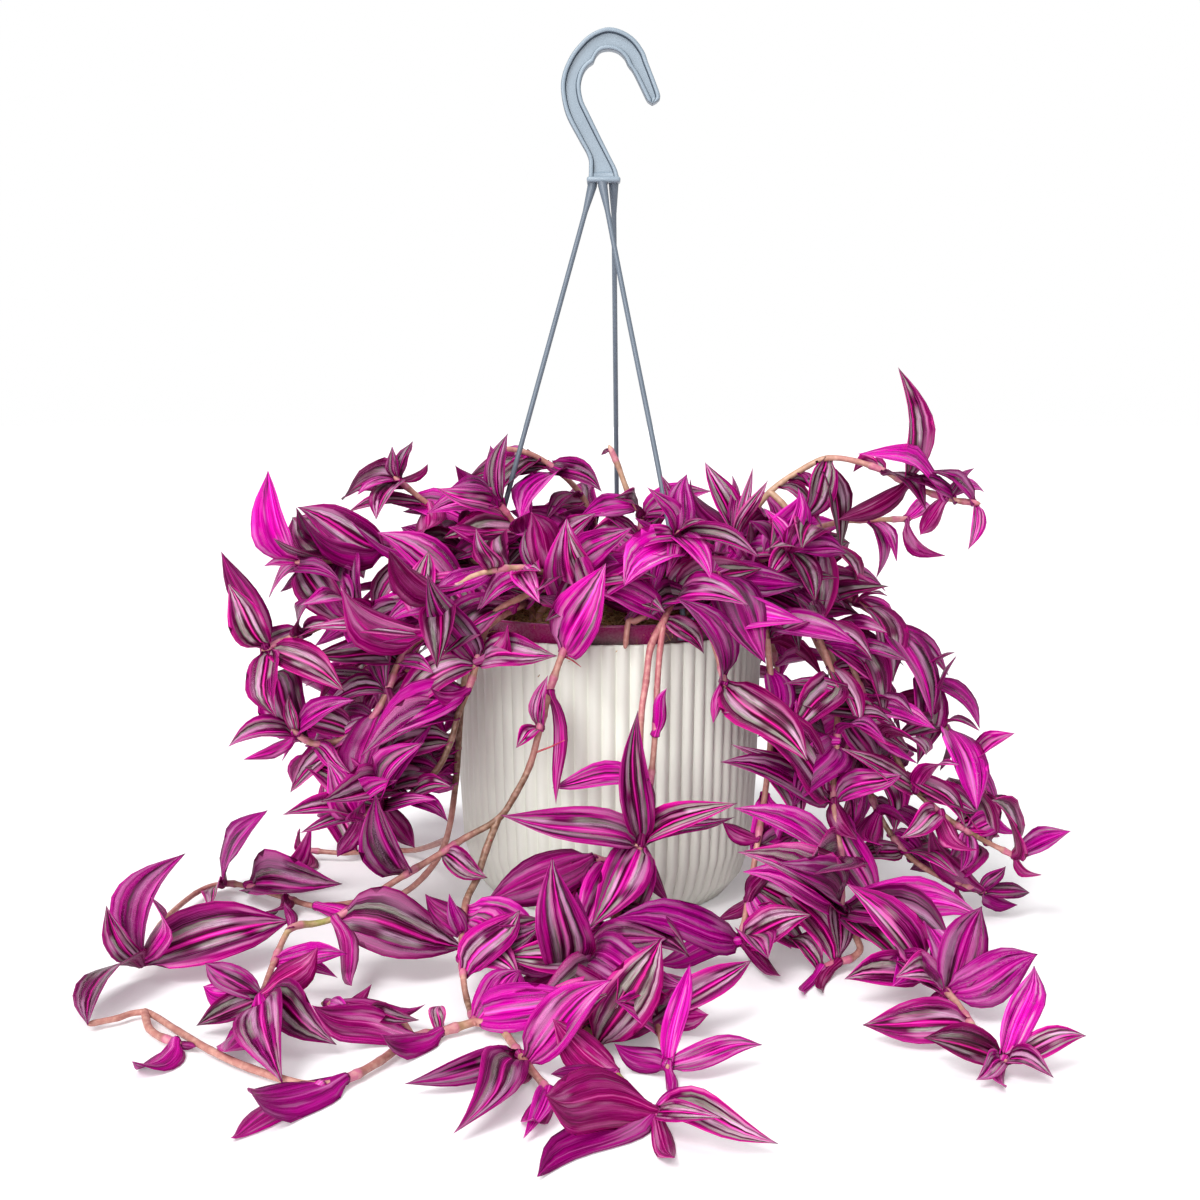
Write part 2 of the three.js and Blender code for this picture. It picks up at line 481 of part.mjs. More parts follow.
    stem(on(0, 8), [low(900, 952, 12), low(948, 993, 10), low(971, 1024, 6), low(992, 1048, 4),
      low(1004, 1060, 5)], [
      leaf(1, at(982, 906, -160), 48), leaf(1, low(1038, 954, 24), 50), leaf(1, at(887, 960, -162), 34),
      leaf(2, low(862, 1025, 7), 45), leaf(1, low(922, 1010, 5), 22, UNDER), leaf(4, low(923, 1038, 9), 40),
      leaf(4, at(1034, 965, -206), 34), leaf(4, low(1087, 1036, 12), 28), leaf(4, low(1054, 1078, 4), 24),
      leaf(4, low(976, 1080, 4), 24), leaf(4, low(1008, 1092, 3), 13, UNDER),
    ]),
    stem(on(0, 8), [low(860, 950, 8), low(838, 962, 5), low(821, 968, 4)], [
      leaf(2, low(787, 940, 10), 30), leaf(2, low(802, 998, 3), 12, UNDER),
      leaf(1, low(820, 994, 3), 13, UNDER),
    ]),
  ]),
  vine("vine_right_outer", [
    stem(root(334, 46), [at(752, 574, -12), at(780, 588, -22), at(802, 605, -30), at(830, 626, -38),
      at(846, 652, -44),
      at(865, 698, -50), at(885, 735, -54), at(900, 765, -58), at(915, 790, -61), at(940, 812, -64),
      at(968, 832, -65),
      at(1015, 856, -62)], [
      leaf(11, at(1071, 831, -78), 34), leaf(11, at(1042, 875, -72), 18, UNDER),
      leaf(11, at(992, 800, -86), 32),
      leaf(5, at(918, 764, -68), 14, UNDER), leaf(5, at(914, 716, -74), 13), leaf(5, at(782, 684, -80), 14),
      leaf(6, at(792, 702, -88), 18), leaf(1, at(797, 644, -48), 20), leaf(2, at(850, 634, -58), 15, UNDER),
      leaf(8, at(840, 748, -88), 20), leaf(9, at(980, 850, -86), 30, UNDER), leaf(8, at(960, 765, -84), 24),
      leaf(10, at(960, 872, -80), 20), leaf(9, at(900, 838, -84), 26),
    ]),
  ]),
  vine("vine_right_high", [
    stem(root(348, 52), [at(800, 566, 8), at(832, 582, 4), at(856, 602, 0), at(890, 628, -6),
      at(925, 680, -14),
      at(943, 724, -20), at(972, 768, -26), at(986, 798, -30)], [
      leaf(2, at(888, 596, -12), 15), leaf(2, at(893, 683, -32), 45), leaf(3, at(932, 720, -40), 30),
      leaf(4, at(955, 652, -26), 20), leaf(5, at(957, 655, -36), 13, UNDER), leaf(5, at(980, 731, -34), 9),
      leaf(5, at(893, 738, -42), 22), leaf(5, at(977, 812, -54), 45), leaf(6, at(1015, 733, -42), 32),
      leaf(7, at(1013, 818, -48), 22), leaf(7, at(1018, 834, -28), 24, UNDER),
      leaf(2, at(822, 540, -12), 24),
      leaf(1, at(858, 560, 6), 22, UNDER),
    ]),
  ]),
  vine("vine_right_drop", [
    stem(root(341, 38), [at(786, 604, -8), at(818, 645, -18), at(842, 700, -28), at(860, 760, -38),
      at(878, 812, -48),
      at(903, 850, -56), at(928, 870, -59), at(958, 884, -61), at(981, 891, -62)], [
      leaf(4, at(914, 834, -82), 34), leaf(5, at(960, 878, -84), 16), leaf(5, at(848, 866, -74), 22),
      leaf(7, low(968, 907, 6), 13, UNDER), leaf(8, at(945, 844, -82), 32, UNDER),
      leaf(8, low(1030, 893, 9), 16),
      leaf(8, low(1018, 905, 5), 18, UNDER), leaf(8, at(1006, 866, -58), 14),
      leaf(3, at(800, 738, -66), 24, UNDER),
      leaf(3, at(858, 806, -80), 22), leaf(4, at(884, 846, -90), 24, UNDER), leaf(2, at(812, 702, -62), 24),
    ]),
  ]),
  vine("vine_arch_right", [
    stem(root(352, 26), [at(712, 562, -2), at(737, 535, -7), at(770, 492, -11), at(808, 466, -14),
      at(829, 458, -16),
      at(855, 461, -18), at(884, 471, -20), at(908, 484, -22), at(945, 498, -24), at(975, 503, -26)], [
      leaf(7, at(898, 367, -26), 28), leaf(8, at(857, 454, -46), 22), leaf(7, at(838, 520, -50), 21, UNDER),
      leaf(6, at(926, 510, -44), 25), leaf(8, at(984, 492, -4), 14), leaf(8, at(975, 468, -22), 9),
      leaf(9, at(968, 550, -36), 14), leaf(6, at(853, 472, 0), 12), leaf(8, at(920, 535, -36), 18, UNDER),
    ]),
    stem(on(0, 2), [at(782, 503, -14), at(802, 527, -17), at(815, 545, -18), at(811, 562, -18)], []),
  ]),
  vine("vine_arch_right_low", [
    stem(root(8, 40), [at(704, 574, 16), at(738, 553, 12), at(765, 553, 9), at(787, 545, 7),
      at(806, 532, 6),
      at(840, 522, 6), at(870, 520, 8), at(906, 519, 10)], [
      leaf(7, at(946, 556, 4), 27, UNDER), leaf(6, at(897, 562, 0), 17), leaf(7, at(930, 505, 24), 16),
    ]),
  ]),
  vine("vine_star_top", [
    stem(root(296, 18), [at(656, 590, -34), at(666, 560, -50), at(677, 535, -62)], [
      leaf(2, at(622, 558, -86), 21), leaf(2, at(687, 474, -60), 28), leaf(2, at(760, 558, -88), 21),
      leaf(2, at(706, 520, -82), 12), leaf(2, at(666, 577, -88), 15), leaf(2, at(712, 582, -90), 22),
      leaf(1, at(650, 600, -76), 14), leaf(2, at(647, 487, -70), 17), leaf(2, at(662, 480, -46), 12),
    ]),
  ]),
  vine("vine_crimson_fan", [
    stem(root(332, 26), [at(716, 574, -22), at(728, 553, -27), at(735, 537, -30)], [
      leaf(2, at(690, 478, -42), 25, UNDER), leaf(2, at(705, 462, -24), 24), leaf(2, at(732, 475, -18), 11),
      leaf(2, at(753, 467, -26), 10), leaf(2, at(768, 480, -38), 13), leaf(1, at(752, 578, -54), 17),
    ]),
  ]),
  vine("vine_right_shoulder", [
    stem(root(338, 58), [at(752, 566, -34), at(772, 556, -42), at(788, 549, -47)], [
      leaf(2, at(768, 580, -66), 22), leaf(2, at(815, 602, -66), 30), leaf(2, at(797, 521, -50), 18, UNDER),
      leaf(2, at(798, 487, -38), 14), leaf(1, at(750, 521, -58), 17), leaf(2, at(764, 508, -34), 15),
    ]),
  ]),
  vine("vine_brown_bud", [
    stem(root(40, 16), [at(640, 542, -10), at(640, 515, -12), at(627, 490, -14), at(619, 468, -14),
      at(611, 450, -14)], [
      leaf(1, at(613, 498, -34), 15), leaf(0, at(580, 538, -44), 28, UNDER), leaf(0, at(600, 512, -26), 12),
      leaf(0, at(660, 500, 4), 20), leaf(4, at(601, 455, -14), 7),
    ]),
  ]),
  vine("vine_thin_arch", [
    stem(root(118, 26), [at(594, 534, 2), at(588, 507, -2), at(574, 486, -5), at(549, 464, -8),
      at(528, 453, -10),
      at(509, 449, -12)], [
      leaf(3, at(602, 492, -30), 24), leaf(1, at(614, 496, 6), 9, UNDER), leaf(0, at(548, 520, 12), 24),
      leaf(0, at(563, 512, -36), 20),
    ]),
  ]),
  vine("vine_centre_curl", [
    stem(root(272, 26), [at(596, 586, -40), at(588, 572, -52)], [
      leaf(1, at(530, 602, -66), 25), leaf(0, at(660, 612, -58), 18, UNDER), leaf(1, at(612, 540, -66), 24),
      leaf(0, at(640, 570, -58), 24), leaf(1, at(552, 548, -50), 24),
    ]),
  ]),
];

// ---------------------------------------------------------------- the hidden side, by a rule
let seed = 20611;
function draw(lowest, highest) {
  seed = (Math.imul(seed, 1664525) + 1013904223) >>> 0;
  return lowest + ((highest - lowest) * seed) / 4294967296;
}
// A leaf tip at a distance from a point, given by its direction and how far it points up.
const reach = (from, azimuth, rise, size) => add(from, polar(azimuth, size * Math.cos(rise), size * Math.sin(rise)));
const RULE_LEAF_WIDTH = 0.42; // of the length
const BACK_VINES = 7;
const CROWN_SHOOTS = 5;
const ruleLeaf = (point, from, azimuth, rise, size) => ({
  point,
  tip: reach(from, azimuth, rise, size),
  millimetres: size * RULE_LEAF_WIDTH,
  side: 1,
});
// A stem over the back of the rim, with a pair of leaves at each joint that hangs free.
function backVine(index) {
  const azimuth = 14 + (index * 158) / (BACK_VINES - 1);
  const lowest = draw(28, 70);
  const spread = draw(0, 26);
  const points = [polar(azimuth, 60, 150), polar(azimuth, 82 + spread * 0.2, 152),
    polar(azimuth + draw(-3, 3), 96 + spread * 0.5, 130), polar(azimuth + draw(-4, 4), 106 + spread * 0.8, 100),
    polar(azimuth + draw(-5, 5), 112 + spread, lowest + 20), polar(azimuth + draw(-5, 5), 116 + spread, lowest)];
  const leaves = [];
  for (let joint = 1; joint < points.length; joint++) {
    const turn = draw(48, 80);
    const base = points[joint];
    leaves.push(ruleLeaf(joint, base, azimuth + turn, draw(-0.5, 0.35), draw(38, 52)));
    if (joint === points.length - 1) continue;
    leaves.push(ruleLeaf(joint, base, azimuth - turn, draw(-0.5, 0.35), draw(36, 50)));
  }
  return vine("vine_back_" + (index + 1), [stem(root(azimuth, index % 2 ? 42 : 54), points, leaves)]);
}
// An upright shoot among the others, with a whorl of leaves at its top.
function crownShoot(index) {
  const azimuth = 20 + (index * 360) / CROWN_SHOOTS;
  const out = index % 2 ? 20 : 36;
  const top = draw(150, 166);
  const points = [polar(azimuth, out + 3, 150), polar(azimuth + 8, out + 8, top)];
  const leaves = [];
  for (let i = 0; i < 5; i++) {
    leaves.push(ruleLeaf(1, points[1], azimuth + i * 72 + draw(-14, 14), draw(0, 0.5), draw(38, 50)));
  }
  return vine("vine_crown_" + (index + 1), [stem(root(azimuth, out), points, leaves)]);
}
for (let i = 0; i < BACK_VINES; i++) VINES.push(backVine(i));
for (let i = 0; i < CROWN_SHOOTS; i++) VINES.push(crownShoot(i));

// ---------------------------------------------------------------- the course of the stems
// Points of a smooth curve through its joints, at equal steps between them. Records which sample each joint became.
function smooth(joints, before) {
  const samples = [joints[0]];
  const jointSample = [0];
  for (let i = 0; i < joints.length - 1; i++) {
    const p0 = i ? joints[i - 1] : before;
    const [p1, p2] = [joints[i], joints[i + 1]];
    const p3 = joints[i + 2] ?? p2;
    const steps = Math.max(1, Math.round(length(sub(p2, p1)) / SAMPLE_STEP));
    for (let j = 1; j <= steps; j++) {
      const t = j / steps;
      const t2 = t * t;
      const t3 = t2 * t;
      samples.push([0, 1, 2].map((k) => 0.5 * (2 * p1[k] + (p2[k] - p0[k]) * t +
        (2 * p0[k] - 5 * p1[k] + 4 * p2[k] - p3[k]) * t2 + (3 * p1[k] - p0[k] - 3 * p2[k] + p3[k]) * t3)));
    }
    jointSample.push(samples.length - 1);
  }
  return { samples, jointSample };
}
const EMERGENCE = 4; // how far a stem stands up out of the soil before it bends
const ROOT_SAMPLES = [12, 5]; // depths under the emergence of the buried part's middle points
function layStem(entry, owner) {
  if ("azimuth" in entry.start) {
    const { azimuth, radius } = entry.start;
    const surface = soilTop(radius) + EMERGENCE;
    const buried = [ROOT_DEPTH, ...ROOT_SAMPLES.map((depth) => surface - depth)].map((z) => polar(azimuth, radius, z));
    const course = smooth([polar(azimuth, radius, surface), ...entry.points], buried[1]);
    entry.samples = [...buried, ...course.samples];
    entry.jointSample = course.jointSample.slice(1).map((n) => n + buried.length);
    entry.held = buried.length + 1;
  } else {
    const parent = owner.stems[entry.start.stemIndex];
    const start = parent.jointSample[entry.start.pointIndex];
    const course = smooth([parent.samples[start], ...entry.points], parent.samples[start]);
    entry.samples = course.samples;
    entry.jointSample = course.jointSample.slice(1);
    entry.held = 1;
    entry.tie = { parent, start };
  }
}
// Keeps a point of a stem over the soil, over the rim, outside the pot and off the surface below.
function clearOfPot(p) {
  const radius = Math.hypot(p[0], p[1]);
  const margin = STEM_RADIUS + 2 * CLEARANCE;
  const wallInside = INNER_POT_RIM_RADIUS - INNER_POT_WALL - margin;
  const wallOutside = PLANTER_PROFILE[PLANTER_PROFILE.length - 1][0] + margin;
  if (radius < wallInside) p[2] = Math.max(p[2], soilTop(radius) + margin);
  else if (radius < wallOutside) {
    const overRim = INNER_POT_RIM + margin - p[2];
    const outward = wallOutside - radius;
    if (overRim > 0 && (overRim < outward || p[2] > PLANTER_HEIGHT + 3)) p[2] += overRim;
    else if (overRim > 0) {
      p[0] *= wallOutside / radius;
      p[1] *= wallOutside / radius;
    }
  }
  p[2] = Math.max(p[2], STEM_RADIUS + CLEARANCE);
}
const SETTLE_PASSES = 30;
const APART = 2 * STEM_RADIUS + 2; // between the middle lines of neighbouring stems
// The push that brings a point out to the distance that keeps it apart from another, or none.
function pushFrom(p, q) {
  const between = sub(p, q);
  const distance = length(between);
  return distance < APART ? scale(between, (APART - distance) / (distance || 1)) : null;
}
// Pushes stems of different plants apart until none touch another or a rod, a little at a time.
function settle(vines, rods) {
  const stems = vines.flatMap((owner, index) => owner.stems.map((entry) => ({ entry, index })));
  for (let pass = 0; pass < SETTLE_PASSES; pass++) {
    const moves = stems.map(({ entry }) => entry.samples.map(() => [0, 0, 0]));
    stems.forEach((a, ia) => {
      a.entry.samples.forEach((p, ip) => {
        for (let ib = ia + 1; ib < stems.length; ib++) {
          if (stems[ib].index === a.index) continue;
          stems[ib].entry.samples.forEach((q, iq) => {
            const push = pushFrom(p, q);
            if (!push) return;
            moves[ia][ip] = add(moves[ia][ip], scale(push, 0.5));
            moves[ib][iq] = sub(moves[ib][iq], scale(push, 0.5));
          });
        }
        rods.forEach((q) => {
          const push = pushFrom(p, q);
          if (push) moves[ia][ip] = add(moves[ia][ip], push);
        });
      });
    });
    stems.forEach(({ entry }, i) => {
      const { samples, held } = entry;
      samples.forEach((p, j) => {
        if (j < held) return;
        const here = moves[i][j];
        const near = add(moves[i][j - 1], moves[i][Math.min(j + 1, samples.length - 1)]);
        samples[j] = add(p, add(scale(here, 0.5), scale(near, 0.25)));
        clearOfPot(samples[j]);
      });
      if (entry.tie) samples[0] = entry.tie.parent.samples[entry.tie.start];
    });
  }
}

// ---------------------------------------------------------------- leaves
const SHARED_BASE = 0.3; // the share of a blade, from its base, that may run into a neighbour on the same plant
const LEAF_STATIONS = [[0.14, 0.64], [0.42, 1], [0.74, 0.66]];
const SMALL_STATIONS = [[0.24, 0.92], [0.62, 0.86]];
const TINY_STATIONS = [[0.4, 1]];
const stationsOf = (size) => (size < TINY_LEAF ? TINY_STATIONS : size < SMALL_LEAF ? SMALL_STATIONS : LEAF_STATIONS);
// A leaf blade from its base to its tip, folded along the midrib and arched, with a lens for its section.
function makeBlade(base, tip, width, hint, extra) {
  const chord = sub(tip, base);
  const size = length(chord);
  const along = unit(chord);
  const side = unit(cross(along, hint));
  const normal = cross(side, along);
  const half = (LEAF_THICKNESS + extra) / 2;
  const rings = stationsOf(size).map(([t, share]) => {
    const middle = add(add(base, scale(chord, t)), scale(normal, LEAF_ARCH * size * Math.sin(Math.PI * t)));
    const reachOut = (width * share + extra) / 2;
    const edge = add(middle, scale(normal, LEAF_FOLD * width * share));
    return [add(edge, scale(side, reachOut)), add(middle, scale(normal, half)), sub(edge, scale(side, reachOut)),
      sub(middle, scale(normal, half))];
  });
  const points = [base, ...rings.flat(), tip];
  const faces = [];
  const last = points.length - 1;
  for (let j = 0; j < 4; j++) {
    const k = (j + 1) % 4;
    faces.push([0, 1 + j, 1 + k]);
    for (let i = 0; i < rings.length - 1; i++) {
      const [a, b] = [1 + 4 * i + j, 1 + 4 * i + k];
      // Both faces are split along lines that leave the midrib.
      if (j % 2) faces.push([a, b + 4, b], [a, a + 4, b + 4]);
      else faces.push([a, a + 4, b], [b, a + 4, b + 4]);
    }
    faces.push([last, last - 4 + k, last - 4 + j]);
  }
  return solid(points, faces);
}
// Which way the upper face looks: up, out from the pot's axis, and, where the picture shows it, to the front.
function facing(entry, base) {
  const out = unit([base[0], base[1], 0]);
  const front = entry.millimetres ? 0 : -0.5;
  return scale(unit([out[0] * 0.5, out[1] * 0.5 + front, 0.75]), entry.side);
}
// Turned and shortened copies of a leaf's tip, the least changed first. A turn towards the eye or away from it is
// tried before one across the picture.
const TURNS = [0, 0.25, -0.25, 0.5, -0.5, 0.8, -0.8];
const SHRINKS = [1, 0.84, 0.68];
const ACROSS_COST = 2.5;
const turnPairs = TURNS.flatMap((a) => TURNS.map((b) => [a, b]));
const turnCost = ([a, b]) => a * a + ACROSS_COST * b * b;
turnPairs.sort((m, n) => turnCost(m) - turnCost(n));
function tipChoices(joint, tip) {
  const chord = sub(tip, joint);
  const size = length(chord);
  const along = unit(chord);
  const sight = unit(sub(joint, EYE));
  const across = unit(cross(along, sight));
  const ways = turnPairs.map(([a, b]) => unit(add(along, add(scale(sight, a), scale(across, b)))));
  return SHRINKS.flatMap((shrink) => ways.map((way) => add(joint, scale(way, size * shrink))));
}
const boxOf = (piece) => {
  const { min, max } = piece.boundingBox();
  return { min, max };
};
const boxesMeet = (a, b) => [0, 1, 2].every((k) => a.min[k] <= b.max[k] && b.min[k] <= a.max[k]);
const meets = (piece, box, others) =>
  others.some((other) => boxesMeet(box, other.box) && !piece.intersect(other.piece).isEmpty());
// Makes a leaf that is clear of everything but its own plant, bent as little as that needs, or none. It also stays
// out of the blades of its own plant where it can.
function growLeaf(entry, joint, base, obstacles, siblings) {
  const hint = facing(entry, base);
  const width = entry.millimetres ?? (entry.width * (base[1] - EYE[1])) / FOCAL;
  let second = null;
  for (const tip of tipChoices(joint, entry.tip)) {
    const guard = makeBlade(base, tip, width, hint, 2 * CLEARANCE);
    const box = boxOf(guard);
    if (box.min[2] <= CLEARANCE || meets(guard, box, obstacles)) continue;
    const blade = makeBlade(base, tip, width, hint, 0);
    const outer = makeBlade(add(base, scale(sub(tip, base), SHARED_BASE)), tip, width, hint, 0);
    if (!meets(outer, boxOf(outer), siblings)) return { blade, outer };
    second = second ?? { blade, outer };
  }
  return second;
}

// ---------------------------------------------------------------- the object
const planter = makePlanter();
const innerPot = makeInnerPot();
const hook = makeHook();
const rods = Object.entries(RODS).map(([name, rod]) => ({ name, piece: makeRod(rod) }));
const rodPoints = Object.values(RODS).flatMap((rod) => [
  ...smooth(rodPath(rod), rodPath(rod)[0]).samples,
  ...[-2, 2].map((turn) => polar(rod.azimuth + turn, INNER_POT_RIM_RADIUS, INNER_POT_RIM)),
]);

VINES.forEach((owner) => owner.stems.forEach((entry) => layStem(entry, owner)));
settle(VINES, rodPoints);

// The skin of a stem, which runs on a little past its last joint.
const stemSkin = ({ samples }, ringStep) => {
  const last = samples.length - 1;
  const end = add(samples[last], scale(unit(sub(samples[last], samples[last - 1])), STEM_END));
  return swept([...samples, end], STEM_RADIUS, STEM_SIDES, ringStep);
};
const rooted = VINES.flatMap((owner) => owner.stems).filter((entry) => !entry.tie);
const rootHoles = rooted.map(({ start: { azimuth, radius } }) => {
  const height = SOIL_CROWN + EMERGENCE - ROOT_DEPTH + GAP;
  const hole = new THREE.CylinderGeometry(HOLE_RADIUS, HOLE_RADIUS, height, HOLE_SIDES).rotateX(Math.PI / 2);
  return solidOf(hole.translate(...polar(azimuth, radius, ROOT_DEPTH - GAP + height / 2)));
});
const soil = makeSoil(rootHoles);

const boxed = (piece) => ({ piece, box: boxOf(piece) });
const fixed = [planter, innerPot, soil, hook, ...rods.map(({ piece }) => piece)].map(boxed);
const plants = VINES.map(({ name, stems }) => ({ name, stems, pieces: [], guards: [], outers: [] }));
const guardsBut = (plant) => plants.flatMap((other) => (other === plant ? [] : other.guards));
plants.forEach((plant) => {
  plant.stems.forEach((entry) => {
    if (entry.tie) entry.samples[0] = nearestOn(entry.tie.parent.skin.axis, entry.samples[0]);
    const obstacles = [...fixed, ...guardsBut(plant)];
    for (const ringStep of STEM_RING_STEPS) {
      entry.skin = stemSkin(entry, ringStep);
      if (!meets(entry.skin.piece, boxOf(entry.skin.piece), obstacles)) break;
    }
    plant.pieces.push(entry.skin.piece);
    plant.guards.push(boxed(entry.skin.piece));
  });
});
plants.forEach((plant) => {
  const obstacles = [...fixed, ...guardsBut(plant)];
  plant.stems.forEach((entry) => {
    entry.leaves.forEach((item) => {
      const joint = entry.samples[entry.jointSample[item.point]];
      const base = nearestOn(entry.skin.axis, joint);
      const grown = growLeaf(item, joint, base, obstacles, plant.outers);
      if (!grown) return;
      plant.pieces.push(grown.blade);
      plant.guards.push(boxed(grown.blade));
      plant.outers.push(boxed(grown.outer));
    });
  });
});

const plantInPot = new THREE.Group();
function place(name, piece, colour, roughness) {
  const { numProp, vertProperties, triVerts } = piece.getMesh();
  const geometry = new THREE.BufferGeometry();
  const position = new Float32Array((vertProperties.length / numProp) * 3);
  for (let i = 0; i < position.length / 3; i++) {
    position.set(vertProperties.subarray(i * numProp, i * numProp + 3), i * 3);
  }
  geometry.setAttribute("position", new THREE.BufferAttribute(position, 3));
  geometry.setIndex(new THREE.BufferAttribute(triVerts, 1));
  geometry.computeVertexNormals();
  const mesh = new THREE.Mesh(geometry, new THREE.MeshStandardMaterial({ color: colour, roughness, metalness: 0 }));
  mesh.name = name;
  plantInPot.add(mesh);
}
place("planter", planter, COLOUR.planter, 0.45);
place("inner_pot", innerPot, COLOUR.innerPot, 0.5);
place("soil", soil, COLOUR.soil, 1);
place("hanger_hook", hook, COLOUR.hanger, 0.4);
rods.forEach(({ name, piece }) => place(name, piece, COLOUR.hanger, 0.4));
plants.forEach(({ name, pieces }) => place(name, oneBody(joined(pieces)), COLOUR.vine, 0.45));

export default plantInPot;
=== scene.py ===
"""A trailing purple-striped tradescantia in a ribbed pot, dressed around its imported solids.

The pots, the coir and the hanger are rebuilt finer in the places of their solids. Each leafy stem is rebuilt
from the rows of joints and leaves that its solid was made from, with real blades, veins and stripes, and with
more leaves where the plant is dense. Lengths are in millimetres until a mesh is made, and then in metres.
"""

import json
import logging
import math
from dataclasses import dataclass, field
from enum import Enum
from functools import cache
from typing import Callable, Iterable, Optional, Sequence

import bmesh
import bpy
import numpy as np
from bpy.types import Material, Mesh, Node, NodeSocket, NodeTree, Object, World
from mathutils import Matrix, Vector, noise

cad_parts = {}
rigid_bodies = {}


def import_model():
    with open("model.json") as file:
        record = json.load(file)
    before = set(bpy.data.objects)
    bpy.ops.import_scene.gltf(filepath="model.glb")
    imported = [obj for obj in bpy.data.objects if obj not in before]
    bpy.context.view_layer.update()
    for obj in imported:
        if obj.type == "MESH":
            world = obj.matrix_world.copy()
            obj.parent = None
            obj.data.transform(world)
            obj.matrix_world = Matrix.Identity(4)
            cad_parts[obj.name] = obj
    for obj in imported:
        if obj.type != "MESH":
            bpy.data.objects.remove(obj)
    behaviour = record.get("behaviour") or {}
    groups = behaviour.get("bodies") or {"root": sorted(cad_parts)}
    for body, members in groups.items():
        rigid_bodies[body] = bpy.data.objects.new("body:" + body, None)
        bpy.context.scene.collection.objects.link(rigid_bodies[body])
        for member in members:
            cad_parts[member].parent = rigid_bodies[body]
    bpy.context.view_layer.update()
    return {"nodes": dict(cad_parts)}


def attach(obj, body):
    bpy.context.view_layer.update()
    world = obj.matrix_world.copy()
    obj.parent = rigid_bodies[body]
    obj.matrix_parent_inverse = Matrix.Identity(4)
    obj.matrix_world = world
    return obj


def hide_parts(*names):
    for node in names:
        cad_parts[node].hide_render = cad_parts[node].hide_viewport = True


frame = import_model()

LOG = logging.getLogger("tradescantia")
MM = 0.001
BODY = "root"
Row = Sequence[float]
Array = np.ndarray


# -------------------- sizes of the solids
@dataclass(frozen=True)
class PotSizes:
    """Sizes of the pots, the soil and the hanger, which the stems keep clear of."""

    gap: float = 0.3
    planter_height: float = 130.0
    planter_rim_radius: float = 75.0
    floor: float = 5.3
    rim: float = 138.5
    base_radius: float = 50.0
    rim_radius: float = 71.5
    wall: float = 1.6
    soil_edge: float = 133.5
    soil_crown: float = 138.0
    root_depth: float = 116.0
    rod_radius: float = 1.2
    hook_base: float = 341.6

    def soil_top(self, radius: float) -> float:
        """The height of the soil at a radius from the axis."""
        return self.soil_crown - (self.soil_crown - self.soil_edge) * (radius / self.rim_radius) ** 2

    def inner_wall(self, z: float) -> float:
        """The radius of the inside of the nursery pot at a height."""
        share = (z - self.floor) / (self.rim - self.floor)
        return self.base_radius + share * (self.rim_radius - self.base_radius) - self.wall


SIZES = PotSizes()
STEM_RADIUS = 1.75
SAMPLE_STEP = 5.0
CLEARANCE = 0.35


def unit(vector: Array) -> Array:
    """The vector at a length of one, or unchanged where it has none."""
    size = float(np.linalg.norm(vector))
    return vector / (size or 1.0)


def polar(degrees: float, radius: float, z: float) -> Array:
    """The place at a direction and a radius from the pot's axis, and a height."""
    angle = math.radians(degrees)
    return np.array([radius * math.cos(angle), radius * math.sin(angle), z])


@dataclass(frozen=True)
class PictureEye:
    """The eye that the stems were laid out from, with its pitch and its scale in a frame of 1200."""

    place: tuple = (-3.9, -767.0, 228.0)
    pitch: float = math.radians(6.4)
    focal: float = 1575.0
    frame_size: float = 1200.0

    def ray(self, u: float, v: float) -> Array:
        """The direction from the eye through a point of the picture, u to the right and v down."""
        middle = self.frame_size / 2
        up = (middle - v) / self.focal
        sine, cosine = math.sin(self.pitch), math.cos(self.pitch)
        return np.array([(u - middle) / self.focal, cosine + up * sine, up * cosine - sine])

    def pixel(self, place: Array) -> tuple:
        """The point of the picture where a place is seen."""
        x, y, z = place - np.array(self.place)
        sine, cosine = math.sin(self.pitch), math.cos(self.pitch)
        depth = y * cosine - z * sine
        scale = self.focal / depth
        middle = self.frame_size / 2
        return middle + x * scale, middle - (y * sine + z * cosine) * scale

    def size_of_pixel(self, place: Array) -> float:
        """How many millimetres one pixel of the picture spans at a place."""
        return (place[1] - self.place[1]) / self.focal

    def cut(self, u: float, v: float, axis: int, value: float) -> Array:
        """The place seen at a point of the picture where one coordinate has a value."""
        ray = self.ray(u, v)
        place = np.array(self.place)
        return place + ray * ((value - place[axis]) / ray[axis])


EYE = PictureEye()


def at(u: float, v: float, depth: float) -> Array:
    """The place seen at a point of the picture, at a depth behind the pot's axis."""
    return EYE.cut(u, v, 1, depth)


def low(u: float, v: float, height: float) -> Array:
    """The place seen at a point of the picture, at a height over the surface that the pot stands on."""
    return EYE.cut(u, v, 2, height)


# -------------------- stems and leaves
class Side(Enum):
    """Which face of a leaf looks up and to the front."""

    UPPER = 1
    UNDER = -1


class Tone(Enum):
    """The colour of a length of stem, as red, green and blue of a screen."""

    PINK = (184, 126, 116)
    TAN = (188, 150, 122)
    BROWN = (122, 88, 68)
    GREEN = (160, 154, 84)
    RED = (184, 108, 114)
    ROOT = (186, 34, 70)


UNDER = Side.UNDER


@dataclass
class LeafRow:
    """One leaf: the joint it grows from, its tip and its width, in the picture or in millimetres."""

    point: int
    tip: Array
    width: float
    side: Side = Side.UPPER
    measured: bool = False


@dataclass
class Stem:
    """One stem: its root in the soil or its tie to an earlier stem, its joints and its leaves."""

    root: Optional[tuple]
    tie: Optional[tuple]
    points: list
    leaves: list
    samples: list = field(default_factory=list)
    joint_sample: list = field(default_factory=list)
    held: int = 1
    parent: Optional["Stem"] = None


@dataclass
class Vine:
    """A plant of one or more stems that stands for one solid."""

    name: str
    stems: list


